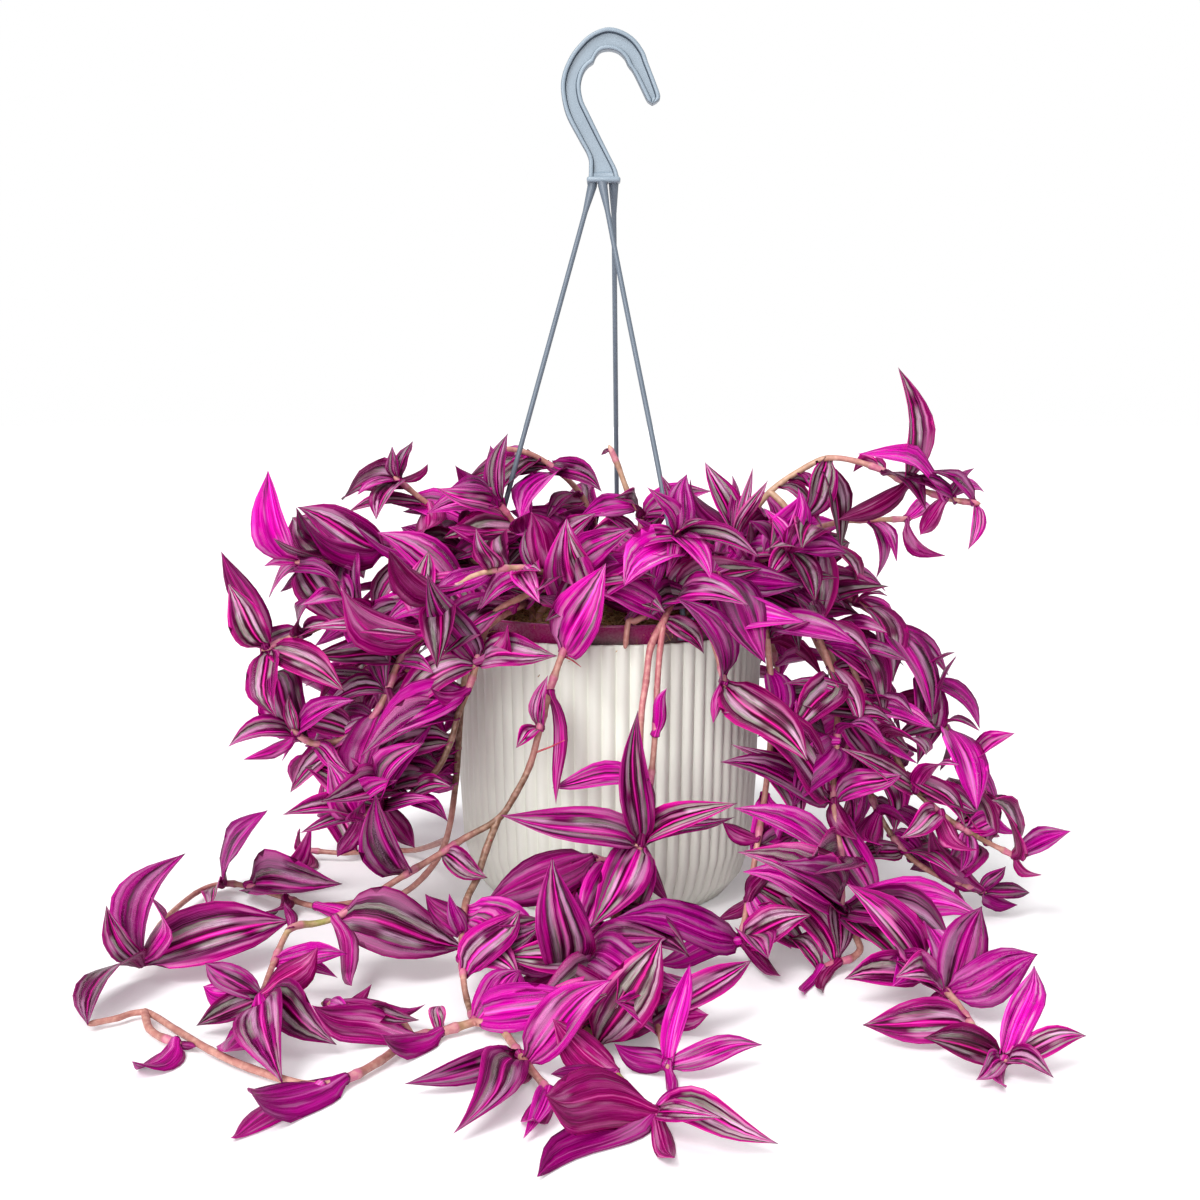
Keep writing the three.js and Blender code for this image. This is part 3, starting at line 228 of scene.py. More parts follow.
def root(azimuth: float, radius: float) -> dict:
    """A start in the soil, by its direction and radius."""
    return {"root": (azimuth, radius), "tie": None}


def on(stem_index: int, point_index: int) -> dict:
    """A start on a joint of an earlier stem."""
    return {"root": None, "tie": (stem_index, point_index)}


def leaf(point: int, tip: Array, width: float, side: Side = Side.UPPER) -> LeafRow:
    """One leaf, with its width as it shows in the picture."""
    return LeafRow(point, tip, width, side)


def stem(start: dict, points: Sequence, leaves: Sequence, place: Callable = at) -> Stem:
    """One stem of a plant.

    Args:
        start: Where it starts.
        points: Its joints, each a place or the three numbers of one.
        leaves: Its leaves, each a leaf or its joint, the three numbers of its tip, its width and its side.
        place: What makes a place of three numbers.

    Returns:
        The stem.
    """
    joints = [place(*point) if isinstance(point, tuple) else point for point in points]
    rows = [leaf(row[0], place(*row[1:4]), *row[4:]) if isinstance(row, tuple) else row for row in leaves]
    return Stem(points=joints, leaves=rows, **start)


# Each stem: where it starts, its joints in order, and its leaves. A leaf gives the joint that it grows from,
# the three numbers of its tip, and its width in the picture.
VINES = [
  Vine("vine_left_high", [
    stem(root(178, 54), [(505, 578, -14), (450, 556, -26), (385, 552, -40), (340, 560, -50),
      (299, 563, -56)], [
      (4, 268, 470, -66, 38), (2, 296, 507, -76, 42, UNDER), (1, 350, 520, -60, 20, UNDER),
      (3, 273, 538, -84, 16, UNDER), (4, 345, 622, -78, 38), (4, 342, 583, -92, 20), (4, 264, 566, -60, 9),
      (3, 280, 592, -34, 14), (1, 437, 577, -62, 15),
    ]),
  ]),
  Vine("vine_left_crown", [
    stem(root(160, 40), [(520, 560, 0), (470, 528, -14), (430, 505, -20), (398, 480, -24)], [
      (3, 392, 446, -26, 14), (3, 413, 441, -14, 13), (3, 428, 464, -8, 20, UNDER), (3, 357, 495, -40, 17),
      (3, 376, 520, -52, 26), (2, 425, 530, -52, 28, UNDER), (2, 348, 512, -34, 14), (1, 500, 489, -40, 20),
      (1, 415, 545, 10, 24),
    ]),
  ]),
  Vine("vine_upright_left", [
    stem(root(150, 24), [(548, 560, -22), (522, 532, -36), (499, 503, -44)], [
      (2, 508, 433, -38, 19), (2, 490, 445, -30, 16), (2, 455, 465, -52, 20, UNDER), (2, 450, 488, -64, 19),
      (1, 448, 527, -54, 22, UNDER), (2, 480, 481, -24, 10), (1, 530, 512, -72, 20),
    ]),
  ]),
  Vine("vine_tan_stem", [
    stem(root(250, 47), [(606, 588, -58), (580, 579, -72), (552, 574, -80), (520, 568, -86),
      (493, 571, -90), (470, 578, -94), (447, 596, -97), (428, 634, -96)], [
      (2, 531, 512, -98, 34, UNDER), (1, 567, 528, -94, 24), (4, 476, 528, -110, 22),
      (6, 388, 550, -122, 34, UNDER), (7, 340, 585, -128, 45, UNDER), (7, 333, 650, -112, 14),
      (7, 303, 628, -112, 17), (3, 540, 604, -110, 24),
    ]),
  ]),
  Vine("vine_left_drop", [
    stem(root(232, 52), [(562, 592, -60), (545, 588, -72), (520, 598, -82), (495, 613, -89),
      (482, 640, -93), (477, 662, -95), (468, 690, -96), (458, 715, -97), (452, 738, -98), (438, 768, -100),
      (410, 795, -103), (382, 804, -106), (360, 817, -108)], [
      (5, 427, 573, -112, 36), (5, 508, 624, -114, 26, UNDER), (5, 558, 656, -110, 34),
      (6, 430, 688, -112, 16, UNDER), (12, 327, 760, -120, 40), (12, 282, 815, -126, 22),
      (12, 300, 833, -112, 13), (12, 337, 857, -120, 30, UNDER), (12, 398, 780, -134, 20),
      (11, 433, 723, -98, 15), (10, 452, 787, -112, 28), (10, 448, 822, -120, 18), (11, 425, 742, -134, 30),
      (11, 437, 800, -134, 15), (11, 415, 848, -124, 22, UNDER),
    ]),
  ]),
  Vine("vine_left_mid", [
    stem(root(192, 56), [(480, 598, -46), (420, 604, -62), (350, 618, -76), (300, 634, -84),
      (267, 648, -88)], [
      (4, 228, 583, -100, 54), (4, 221, 551, -80, 28, UNDER), (3, 312, 598, -102, 22),
      (3, 340, 630, -106, 16), (4, 276, 674, -92, 13, UNDER), (2, 385, 652, -98, 30),
      (4, 345, 692, -102, 35), (1, 395, 572, -86, 26), (1, 452, 646, -84, 26, UNDER),
    ]),
  ]),
  Vine("vine_left_low", [
    stem(root(212, 54), [(470, 618, -66), (425, 636, -76), (400, 660, -82), (388, 690, -86),
      (372, 718, -88), (345, 738, -90), (315, 744, -92), (296, 733, -94)], [
      (2, 318, 655, -104, 30), (3, 322, 672, -66, 20), (3, 392, 744, -104, 22, UNDER),
      (7, 228, 747, -106, 30), (7, 289, 694, -94, 13), (7, 355, 700, -112, 22),
      (7, 243, 760, -84, 14, UNDER), (6, 352, 774, -108, 18), (4, 343, 710, -70, 18),
      (2, 434, 674, -96, 17), (4, 418, 748, -76, 24), (5, 352, 778, -72, 22, UNDER),
    ]),
  ]),
  Vine("vine_floor_left", [
    stem(root(262, 44), [(588, 606, -62), (574, 630, -80), (562, 655, -87), (550, 690, -91),
      (540, 728, -93), (530, 765, -95), (515, 795, -98), (498, 819, -102), (465, 838, -107),
      (443, 852, -111), (405, 875, -119), (365, 900, -128), (335, 918, -134), (312, 924, -138),
      (290, 929, -144), low(274, 962, 15), low(261, 998, 12)], [
      (2, 606, 563, -112, 48), (3, 556, 805, -108, 14, UNDER), (4, 548, 675, -108, 16),
      (4, 516, 748, -104, 20), (9, 488, 878, -120, 26), (10, 376, 793, -134, 42),
      leaf(12, low(465, 948, 12), 74), leaf(12, low(352, 986, 12), 20, UNDER),
      (14, 284, 902, -140, 20, UNDER), leaf(15, low(348, 954, 22), 26), (16, 205, 963, -180, 30),
      (16, 318, 947, -192, 45, UNDER), leaf(16, low(337, 1045, 5), 44), leaf(16, low(203, 986, 12), 32),
      leaf(16, low(218, 1063, 4), 48, UNDER), leaf(16, low(283, 1084, 4), 52),
      leaf(16, low(196, 1026, 4), 28), leaf(15, low(338, 978, 8), 16),
    ]),
    stem(on(0, 7), [(486, 850, -108), (477, 878, -116), (466, 902, -126), (462, 935, -144),
      low(463, 975, 14), low(467, 1000, 7), low(474, 1022, 4)], [
      (4, 520, 910, -154, 42), (3, 449, 893, -152, 17), (3, 436, 906, -124, 30, UNDER),
      (6, 523, 970, -176, 54),
    ]),
    stem(on(1, 6), [(500, 1025, 3), (524, 1025, 3), (555, 1027, 3), (585, 1030, 3), (600, 1050, 3),
      (616, 1074, 3), (636, 1096, 3), (655, 1112, 4)], [
      (5, 541, 1036, 14, 52, UNDER), (5, 556, 1097, 5, 16, UNDER), (7, 536, 1177, 4, 60, UNDER),
      (7, 779, 1144, 5, 38), (7, 680, 1168, 3, 22, UNDER), (7, 722, 1118, 14, 22),
      (7, 694, 1086, 12, 18, UNDER), (3, 560, 1004, 10, 24, UNDER),
    ], low),
    stem(on(1, 6), [(440, 1032, 3), (412, 1038, 3), (380, 1061, 3), (345, 1079, 3), (308, 1085, 3),
      (250, 1068, 3), (210, 1050, 3), (178, 1031, 3), (145, 1012, 3), (118, 1018, 3), (94, 1023, 3)], [
      (1, 312, 1064, 6, 38, UNDER), (0, 372, 1068, 4, 28, UNDER), (3, 230, 1138, 4, 38, UNDER),
      (0, 440, 1006, 8, 20),
    ], low),
    stem(on(3, 8), [(149, 1028, 3), (161, 1037, 3), (176, 1042, 3)], [
      (2, 147, 1076, 3, 22, UNDER), (2, 196, 1047, 3, 9, UNDER),
    ], low),
    stem(on(2, 0), [(520, 1055, 3), (530, 1068, 3), (549, 1091, 3)], [
      (0, 453, 1134, 4, 44), (0, 404, 1084, 5, 30), (0, 523, 1090, 3, 9, UNDER),
      (2, 523, 1137, 3, 26, UNDER),
    ], low),
    stem(on(3, 1), [(403, 1024, 6), (388, 1014, 8), (368, 1011, 8), (345, 1007, 8), (326, 1004, 7)], [
      (4, 426, 1004, 14, 14, UNDER), (4, 352, 1026, 4, 24), (2, 420, 1020, 12, 20),
      (3, 372, 984, 12, 14, UNDER),
    ], low),
  ]),
  Vine("vine_far_left", [
    stem(root(222, 48), [at(520, 606, -58), at(476, 640, -72), at(462, 700, -66), at(456, 780, -64),
      at(446, 840, -62), at(425, 875, -60), (395, 897, 6), (352, 903, 4), (316, 906, 4), (286, 898, 4),
      (246, 886, 4), (222, 884, 4), (196, 893, 5), (160, 925, 7), (141, 962, 8)], [
      leaf(11, at(268, 810, -30), 36), (14, 291, 921, 15, 70), leaf(14, at(186, 853, -122), 58),
      leaf(14, at(106, 905, -150), 26), leaf(14, at(150, 896, -160), 20, UNDER), (14, 88, 1026, 4, 28),
      leaf(10, at(312, 824, -30), 22, UNDER), (10, 343, 884, 14, 44), (10, 284, 864, 10, 12, UNDER),
      (11, 208, 912, 4, 13), (9, 258, 916, 6, 14, UNDER), (8, 330, 940, 5, 18, UNDER),
    ], low),
    stem(on(0, 4), [(415, 850, 6), (380, 850, 5), (345, 853, 5), (306, 850, 6)], [
      (3, 280, 868, 5, 16, UNDER), leaf(3, at(300, 828, 30), 18),
    ], low),
  ]),
  Vine("vine_front", [
    stem(root(284, 46), [(672, 598, -64), (665, 618, -79), (660, 650, -86), (657, 690, -90),
      (655, 735, -94), (650, 785, -99), (641, 843, -112)], [
      (6, 500, 815, -130, 38), (6, 638, 710, -120, 34), (6, 648, 778, -132, 18, UNDER),
      (6, 738, 803, -130, 30), (6, 735, 817, -108, 15), (6, 590, 928, -152, 46),
      (6, 670, 904, -116, 18, UNDER), (5, 552, 788, -92, 25), (4, 667, 688, -102, 14, UNDER),
    ]),
    stem(on(0, 1), [(651, 646, -87), (646, 682, -93), (641, 720, -100), (640, 790, -107)], [

    ]),
    stem(on(0, 0), [(650, 612, -73), (634, 624, -76), (625, 642, -74)], [

    ]),
    stem(on(0, 6), [(616, 862, -113), (594, 857, -114)], [
      (1, 484, 904, -126, 48, UNDER), (1, 583, 889, -124, 18, UNDER),
    ]),
    stem(on(0, 6), [at(630, 880, -117), at(614, 920, -132), (586, 955, 15), (562, 970, 11)], [
      leaf(3, at(552, 857, -178), 54), (3, 486, 939, 16, 36), (3, 632, 1038, 7, 44),
      (3, 606, 1046, 4, 42, UNDER), leaf(2, at(668, 938, -152), 44), (2, 667, 1028, 9, 42),
      (3, 462, 914, 22, 25), (3, 508, 987, 6, 20, UNDER),
    ], low),
    stem(on(4, 2), [(625, 985, 8), (655, 1020, 5), (667, 1065, 5)], [
      leaf(2, at(690, 963, -212), 24), (2, 763, 1045, 9, 27), (2, 618, 1045, 8, 30, UNDER),
      (2, 673, 1092, 4, 12, UNDER), (1, 752, 960, 22, 34), (1, 708, 1030, 6, 26, UNDER),
      (0, 650, 992, 18, 20),
    ], low),
  ]),
  Vine("vine_front_right", [
    stem(root(318, 50), [(738, 566, -42), (757, 592, -57), (765, 625, -63), (770, 668, -67),
      (772, 710, -71), (768, 770, -80), (758, 840, -96), (748, 900, -112), (741, 941, -124)], [
      leaf(8, low(598, 916, 30), 40), (8, 812, 915, -134, 42), leaf(8, low(781, 976, 5), 13, UNDER),
      leaf(8, low(690, 950, 6), 16), leaf(8, low(655, 964, 6), 26, UNDER),
      leaf(7, low(716, 921, 12), 14, UNDER), (7, 765, 868, -120, 20, UNDER), (6, 722, 822, -98, 18, UNDER),
    ]),
  ]),
  Vine("vine_rim_right", [
    stem(root(302, 50), [(692, 596, -56), (706, 580, -68), (716, 574, -74)], [
      (2, 766, 664, -108, 45), (2, 740, 628, -90, 24, UNDER),
    ]),
    stem(on(0, 0), [(704, 620, -76), (716, 650, -84), (724, 682, -90)], [
      (2, 676, 598, -110, 30), (2, 808, 762, -120, 45), (2, 713, 724, -96, 12, UNDER),
      (2, 758, 698, -82, 16, UNDER),
    ]),
  ]),
  Vine("vine_right_low", [
    stem(root(326, 54), [(776, 586, -30), (800, 602, -38), (814, 628, -46), (826, 655, -53),
      (836, 690, -60), (837, 742, -72), (833, 800, -86), (842, 862, -101), (841, 908, -113)], [
      (6, 737, 725, -122, 45), (6, 720, 762, -112, 30), (6, 730, 744, -96, 16),
      (6, 858, 840, -104, 30, UNDER), (7, 733, 808, -128, 30), (8, 737, 852, -140, 46),
      (8, 742, 872, -124, 32), (8, 776, 862, -150, 38), (8, 983, 918, -120, 44),
      leaf(8, low(956, 957, 13), 50), (7, 868, 868, -118, 18), (5, 796, 700, -92, 22, UNDER),
    ]),
    stem(on(0, 8), [(900, 952, 12), (948, 993, 10), (971, 1024, 6), (992, 1048, 4), (1004, 1060, 5)], [
      leaf(1, at(982, 906, -160), 48), (1, 1038, 954, 24, 50), leaf(1, at(887, 960, -162), 34),
      (2, 862, 1025, 7, 45), (1, 922, 1010, 5, 22, UNDER), (4, 923, 1038, 9, 40),
      leaf(4, at(1034, 965, -206), 34), (4, 1087, 1036, 12, 28), (4, 1054, 1078, 4, 24),
      (4, 976, 1080, 4, 24), (4, 1008, 1092, 3, 13, UNDER),
    ], low),
    stem(on(0, 8), [(860, 950, 8), (838, 962, 5), (821, 968, 4)], [
      (2, 787, 940, 10, 30), (2, 802, 998, 3, 12, UNDER), (1, 820, 994, 3, 13, UNDER),
    ], low),
  ]),
  Vine("vine_right_outer", [
    stem(root(334, 46), [(752, 574, -12), (780, 588, -22), (802, 605, -30), (830, 626, -38),
      (846, 652, -44), (865, 698, -50), (885, 735, -54), (900, 765, -58), (915, 790, -61), (940, 812, -64),
      (968, 832, -65), (1015, 856, -62)], [
      (11, 1071, 831, -78, 34), (11, 1042, 875, -72, 18, UNDER), (11, 992, 800, -86, 32),
      (5, 918, 764, -68, 14, UNDER), (5, 914, 716, -74, 13), (5, 782, 684, -80, 14), (6, 792, 702, -88, 18),
      (1, 797, 644, -48, 20), (2, 850, 634, -58, 15, UNDER), (8, 840, 748, -88, 20),
      (9, 980, 850, -86, 30, UNDER), (8, 960, 765, -84, 24), (10, 960, 872, -80, 20),
      (9, 900, 838, -84, 26),
    ]),
  ]),
  Vine("vine_right_high", [
    stem(root(348, 52), [(800, 566, 8), (832, 582, 4), (856, 602, 0), (890, 628, -6), (925, 680, -14),
      (943, 724, -20), (972, 768, -26), (986, 798, -30)], [
      (2, 888, 596, -12, 15), (2, 893, 683, -32, 45), (3, 932, 720, -40, 30), (4, 955, 652, -26, 20),
      (5, 957, 655, -36, 13, UNDER), (5, 980, 731, -34, 9), (5, 893, 738, -42, 22), (5, 977, 812, -54, 45),
      (6, 1015, 733, -42, 32), (7, 1013, 818, -48, 22), (7, 1018, 834, -28, 24, UNDER),
      (2, 822, 540, -12, 24), (1, 858, 560, 6, 22, UNDER),
    ]),
  ]),
  Vine("vine_right_drop", [
    stem(root(341, 38), [(786, 604, -8), (818, 645, -18), (842, 700, -28), (860, 760, -38), (878, 812, -48),
      (903, 850, -56), (928, 870, -59), (958, 884, -61), (981, 891, -62)], [
      (4, 914, 834, -82, 34), (5, 960, 878, -84, 16), (5, 848, 866, -74, 22),
      leaf(7, low(968, 907, 6), 13, UNDER), (8, 945, 844, -82, 32, UNDER), leaf(8, low(1030, 893, 9), 16),
      leaf(8, low(1018, 905, 5), 18, UNDER), (8, 1006, 866, -58, 14), (3, 800, 738, -66, 24, UNDER),
      (3, 858, 806, -80, 22), (4, 884, 846, -90, 24, UNDER), (2, 812, 702, -62, 24),
    ]),
  ]),
  Vine("vine_arch_right", [
    stem(root(352, 26), [(712, 562, -2), (737, 535, -7), (770, 492, -11), (808, 466, -14), (829, 458, -16),
      (855, 461, -18), (884, 471, -20), (908, 484, -22), (945, 498, -24), (975, 503, -26)], [
      (7, 898, 367, -26, 28), (8, 857, 454, -46, 22), (7, 838, 520, -50, 21, UNDER), (6, 926, 510, -44, 25),
      (8, 984, 492, -4, 14), (8, 975, 468, -22, 9), (9, 968, 550, -36, 14), (6, 853, 472, 0, 12),
      (8, 920, 535, -36, 18, UNDER),
    ]),
    stem(on(0, 2), [(782, 503, -14), (802, 527, -17), (815, 545, -18), (811, 562, -18)], [

    ]),
  ]),
  Vine("vine_arch_right_low", [
    stem(root(8, 40), [(704, 574, 16), (738, 553, 12), (765, 553, 9), (787, 545, 7), (806, 532, 6),
      (840, 522, 6), (870, 520, 8), (906, 519, 10)], [
      (7, 946, 556, 4, 27, UNDER), (6, 897, 562, 0, 17), (7, 930, 505, 24, 16),
    ]),
  ]),
  Vine("vine_star_top", [
    stem(root(296, 18), [(656, 590, -34), (666, 560, -50), (677, 535, -62)], [
      (2, 622, 558, -86, 21), (2, 687, 474, -60, 28), (2, 760, 558, -88, 21), (2, 706, 520, -82, 12),
      (2, 666, 577, -88, 15), (2, 712, 582, -90, 22), (1, 650, 600, -76, 14), (2, 647, 487, -70, 17),
      (2, 662, 480, -46, 12),
    ]),
  ]),
  Vine("vine_crimson_fan", [
    stem(root(332, 26), [(716, 574, -22), (728, 553, -27), (735, 537, -30)], [
      (2, 690, 478, -42, 25, UNDER), (2, 705, 462, -24, 24), (2, 732, 475, -18, 11), (2, 753, 467, -26, 10),
      (2, 768, 480, -38, 13), (1, 752, 578, -54, 17),
    ]),
  ]),
  Vine("vine_right_shoulder", [
    stem(root(338, 58), [(752, 566, -34), (772, 556, -42), (788, 549, -47)], [
      (2, 768, 580, -66, 22), (2, 815, 602, -66, 30), (2, 797, 521, -50, 18, UNDER), (2, 798, 487, -38, 14),
      (1, 750, 521, -58, 17), (2, 764, 508, -34, 15),
    ]),
  ]),
  Vine("vine_brown_bud", [
    stem(root(40, 16), [(640, 542, -10), (640, 515, -12), (627, 490, -14), (619, 468, -14),
      (611, 450, -14)], [
      (1, 613, 498, -34, 15), (0, 580, 538, -44, 28, UNDER), (0, 600, 512, -26, 12), (0, 660, 500, 4, 20),
      (4, 601, 455, -14, 7),
    ]),
  ]),
  Vine("vine_thin_arch", [
    stem(root(118, 26), [(594, 534, 2), (588, 507, -2), (574, 486, -5), (549, 464, -8), (528, 453, -10),
      (509, 449, -12)], [
      (3, 602, 492, -30, 24), (1, 614, 496, 6, 9, UNDER), (0, 548, 520, 12, 24), (0, 563, 512, -36, 20),
    ]),
  ]),
  Vine("vine_centre_curl", [
    stem(root(272, 26), [(596, 586, -40), (588, 572, -52)], [
      (1, 530, 602, -66, 25), (0, 660, 612, -58, 18, UNDER), (1, 612, 540, -66, 24), (0, 640, 570, -58, 24),
      (1, 552, 548, -50, 24),
    ]),
  ]),
]


class RuleDraw:
    """The run of even draws that the stems of the hidden side were made with."""

    def __init__(self, seed: int = 20611) -> None:
        """Starts the run at a seed."""
        self.seed = seed

    def __call__(self, lowest: float, highest: float) -> float:
        """The next draw between two values."""
        self.seed = (self.seed * 1664525 + 1013904223) % 2**32
        return lowest + ((highest - lowest) * self.seed) / 2**32


RULE_LEAF_WIDTH = 0.42
BACK_VINES, BACK_START, BACK_SWEEP = 7, 14, 158
CROWN_SHOOTS, CROWN_START = 5, 20


def rule_leaf(point: int, base: Array, azimuth: float, rise: float, size: float) -> LeafRow:
    """A leaf given by its direction, how far it points up and its length."""
    tip = base + polar(azimuth, size * math.cos(rise), size * math.sin(rise))
    return LeafRow(point, tip, size * RULE_LEAF_WIDTH, Side.UPPER, True)


def back_vine(index: int, draw: RuleDraw) -> Vine:
    """A stem over the back of the rim, with a pair of leaves at each joint that hangs free.

    Args:
        index: Its number, from left to right seen from behind.
        draw: The run of draws.

    Returns:
        The plant.
    """
    azimuth = BACK_START + (index * BACK_SWEEP) / (BACK_VINES - 1)
    lowest = draw(28, 70)
    spread = draw(0, 26)
    points = [
        polar(azimuth, 60, 150),
        polar(azimuth, 82 + spread * 0.2, 152),
        polar(azimuth + draw(-3, 3), 96 + spread * 0.5, 130),
        polar(azimuth + draw(-4, 4), 106 + spread * 0.8, 100),
        polar(azimuth + draw(-5, 5), 112 + spread, lowest + 20),
        polar(azimuth + draw(-5, 5), 116 + spread, lowest),
    ]
    leaves = []
    for joint in range(1, len(points)):
        turn = draw(48, 80)
        leaves.append(rule_leaf(joint, points[joint], azimuth + turn, draw(-0.5, 0.35), draw(38, 52)))
        if joint < len(points) - 1:
            leaves.append(rule_leaf(joint, points[joint], azimuth - turn, draw(-0.5, 0.35), draw(36, 50)))
    return Vine(f"vine_back_{index + 1}", [stem(root(azimuth, 42 if index % 2 else 54), points, leaves)])


def crown_shoot(index: int, draw: RuleDraw) -> Vine:
    """An upright shoot among the others, with a whorl of leaves at its top.

    Args:
        index: Its number, round the pot.
        draw: The run of draws.

    Returns:
        The plant.
    """
    azimuth = CROWN_START + (index * 360) / CROWN_SHOOTS
    out = 20 if index % 2 else 36
    top = draw(150, 166)
    points = [polar(azimuth, out + 3, 150), polar(azimuth + 8, out + 8, top)]
    turns = range(0, 360, 72)
    leaves = [
        rule_leaf(1, points[1], azimuth + turn + draw(-14, 14), draw(0, 0.5), draw(38, 50)) for turn in turns
    ]
    return Vine(f"vine_crown_{index + 1}", [stem(root(azimuth, out), points, leaves)])


def all_vines() -> list:
    """Every plant, those read from the picture and those of the hidden side."""
    draw = RuleDraw()
    backs = [back_vine(index, draw) for index in range(BACK_VINES)]
    return [*VINES, *backs, *[crown_shoot(index, draw) for index in range(CROWN_SHOOTS)]]


# -------------------- course of the stems
def catmull(points: Sequence, segment: int, t: float, before: Array) -> Array:
    """The place at a share of one segment of the smooth curve through some points.

    Args:
        points: The points.
        segment: The number of the segment.
        t: The share of it, from 0 to 1.
        before: The place that the curve seems to come from.

    Returns:
        The place.
    """
    p0 = points[segment - 1] if segment else before
    p1, p2 = points[segment], points[segment + 1]
    p3 = points[segment + 2] if segment + 2 < len(points) else p2
    cubic = 3 * p1 - p0 - 3 * p2 + p3
    square = 2 * p0 - 5 * p1 + 4 * p2 - p3
    return 0.5 * (2 * p1 + (p2 - p0) * t + square * t**2 + cubic * t**3)


def smooth(joints: list, before: Array, step: float = SAMPLE_STEP) -> tuple:
    """Points of a smooth curve through its joints.

    Args:
        joints: The places that the curve passes.
        before: The place that the curve seems to come from.
        step: The distance between neighbouring points.

    Returns:
        The points, and the index of the point that each joint became.
    """
    samples = [joints[0]]
    joint_sample = [0]
    for i in range(len(joints) - 1):
        steps = max(1, math.floor(float(np.linalg.norm(joints[i + 1] - joints[i])) / step + 0.5))
        samples += [catmull(joints, i, j / steps, before) for j in range(1, steps + 1)]
        joint_sample.append(len(samples) - 1)
    return samples, joint_sample


def run_along(points: Sequence) -> Array:
    """The distance of each point from the first one, along the line."""
    return np.concatenate([[0], np.cumsum(np.linalg.norm(np.diff(np.array(points), axis=0), axis=1))])


def rod_path(top: Row, azimuth: float, bow: float) -> list:
    """A rod of the hanger from under the hook's plate to the rim, as points along a slightly bowed line."""
    start = np.array([*top, SIZES.hook_base - SIZES.gap - SIZES.rod_radius])
    end = polar(azimuth, SIZES.rim_radius - SIZES.wall / 2, SIZES.rim + 2)
    out = unit(np.array([end[0] - start[0], end[1] - start[1], 0.0]))
    shares = [i / 12 for i in range(13)]
    return [start * (1 - t) + end * t + out * bow * math.sin(math.pi * t * t) for t in shares]


RODS = {
    "hanger_rod_left": ((-7.6, 0.0), 209.0, 0.3),
    "hanger_rod_right": ((-2.6, -2.4), 298.5, 2.5),
    "hanger_rod_rear": ((2.6, 2.4), 85.5, 0.3),
}


@dataclass
class StemLayout:
    """Lays the stems in their courses, and pushes different plants apart over a fixed number of passes."""

    vines: list
    emergence: float = 4.0
    passes: int = 30
    apart: float = 2 * STEM_RADIUS + 2

    def __post_init__(self) -> None:
        """Lays each stem, then settles them."""
        for vine in self.vines:
            for entry in vine.stems:
                self.lay(entry, vine)
        self.settle(self.rod_points())

    def lay(self, entry: Stem, vine: Vine) -> None:
        """Gives a stem its points, from its root or its tie on.

        Args:
            entry: The stem.
            vine: The plant that it belongs to.
        """
        if entry.root:
            azimuth, radius = entry.root
            surface = SIZES.soil_top(radius) + self.emergence
            before = polar(azimuth, radius, surface - 12)
            samples, joints = smooth([polar(azimuth, radius, surface), *entry.points], before)
            buried = [polar(azimuth, radius, z) for z in (SIZES.root_depth, surface - 12, surface - 5)]
            entry.samples = [*buried, *samples]
            entry.joint_sample = [n + len(buried) for n in joints[1:]]
            entry.held = len(buried) + 1
        else:
            entry.parent = vine.stems[entry.tie[0]]
            start = entry.parent.samples[entry.parent.joint_sample[entry.tie[1]]]
            entry.samples, joints = smooth([start, *entry.points], start)
            entry.joint_sample = joints[1:]

    def rod_points(self) -> Array:
        """Points along the rods and their clips."""
        points = []
        for top, azimuth, bow in RODS.values():
            path = rod_path(top, azimuth, bow)
            points += smooth(path, path[0])[0]
            points += [polar(azimuth + turn, SIZES.rim_radius, SIZES.rim) for turn in (-2, 2)]
        return np.array(points)

    def clear_of_pot(self, p: Array) -> None:
        """Keeps a point of a stem over the soil and the rim, outside the pot and off the surface below.

        Args:
            p: The point, which is moved.
        """
        radius = math.hypot(p[0], p[1])
        margin = STEM_RADIUS + 2 * CLEARANCE
        wall_inside = SIZES.rim_radius - SIZES.wall - margin
        wall_outside = SIZES.planter_rim_radius + margin
        over_rim = SIZES.rim + margin - p[2]
        if radius < wall_inside:
            p[2] = max(p[2], SIZES.soil_top(radius) + margin)
        elif radius < wall_outside and over_rim > 0:
            if over_rim < wall_outside - radius or p[2] > SIZES.planter_height + 3:
                p[2] += over_rim
            else:
                p[:2] *= wall_outside / radius
        p[2] = max(p[2], STEM_RADIUS + CLEARANCE)

    def push(self, places: Array, others: Array, weight: object) -> Array:
        """How far each place is pushed away from others that are too near.

        Args:
            places: The places.
            others: The others.
            weight: The share of the overlap for each pair.

        Returns:
            The move of each place.
        """
        between = places[:, None] - others[None, :]
        distance = np.linalg.norm(between, axis=2)
        share = np.where(distance < self.apart, self.apart - distance, 0.0) * weight
        return np.einsum("ijk,ij->ik", between, share / np.where(distance > 0, distance, 1.0))

    def settle(self, rods: Array) -> None:
        """Moves the points of different plants apart, and away from the rods, a little at a time.

        Args:
            rods: Points along the rods.
        """
        stems = [(index, entry) for index, vine in enumerate(self.vines) for entry in vine.stems]
        owner = np.concatenate([np.full(len(entry.samples), index) for index, entry in stems])
        strangers = owner[:, None] != owner[None, :]
        for _ in range(self.passes):
            places = np.array([p for _, entry in stems for p in entry.samples])
            moves = self.push(places, places, 0.5 * strangers) + self.push(places, rods, 1.0)
            first = 0
            for _, entry in stems:
                count = len(entry.samples)
                own = moves[first : first + count]
                first += count
                for j in range(entry.held, count):
                    near = own[j - 1] + own[min(j + 1, count - 1)]
                    entry.samples[j] = entry.samples[j] + own[j] * 0.5 + near * 0.25
                    self.clear_of_pot(entry.samples[j])
                if entry.parent:
                    entry.samples[0] = entry.parent.samples[entry.parent.joint_sample[entry.tie[1]]]


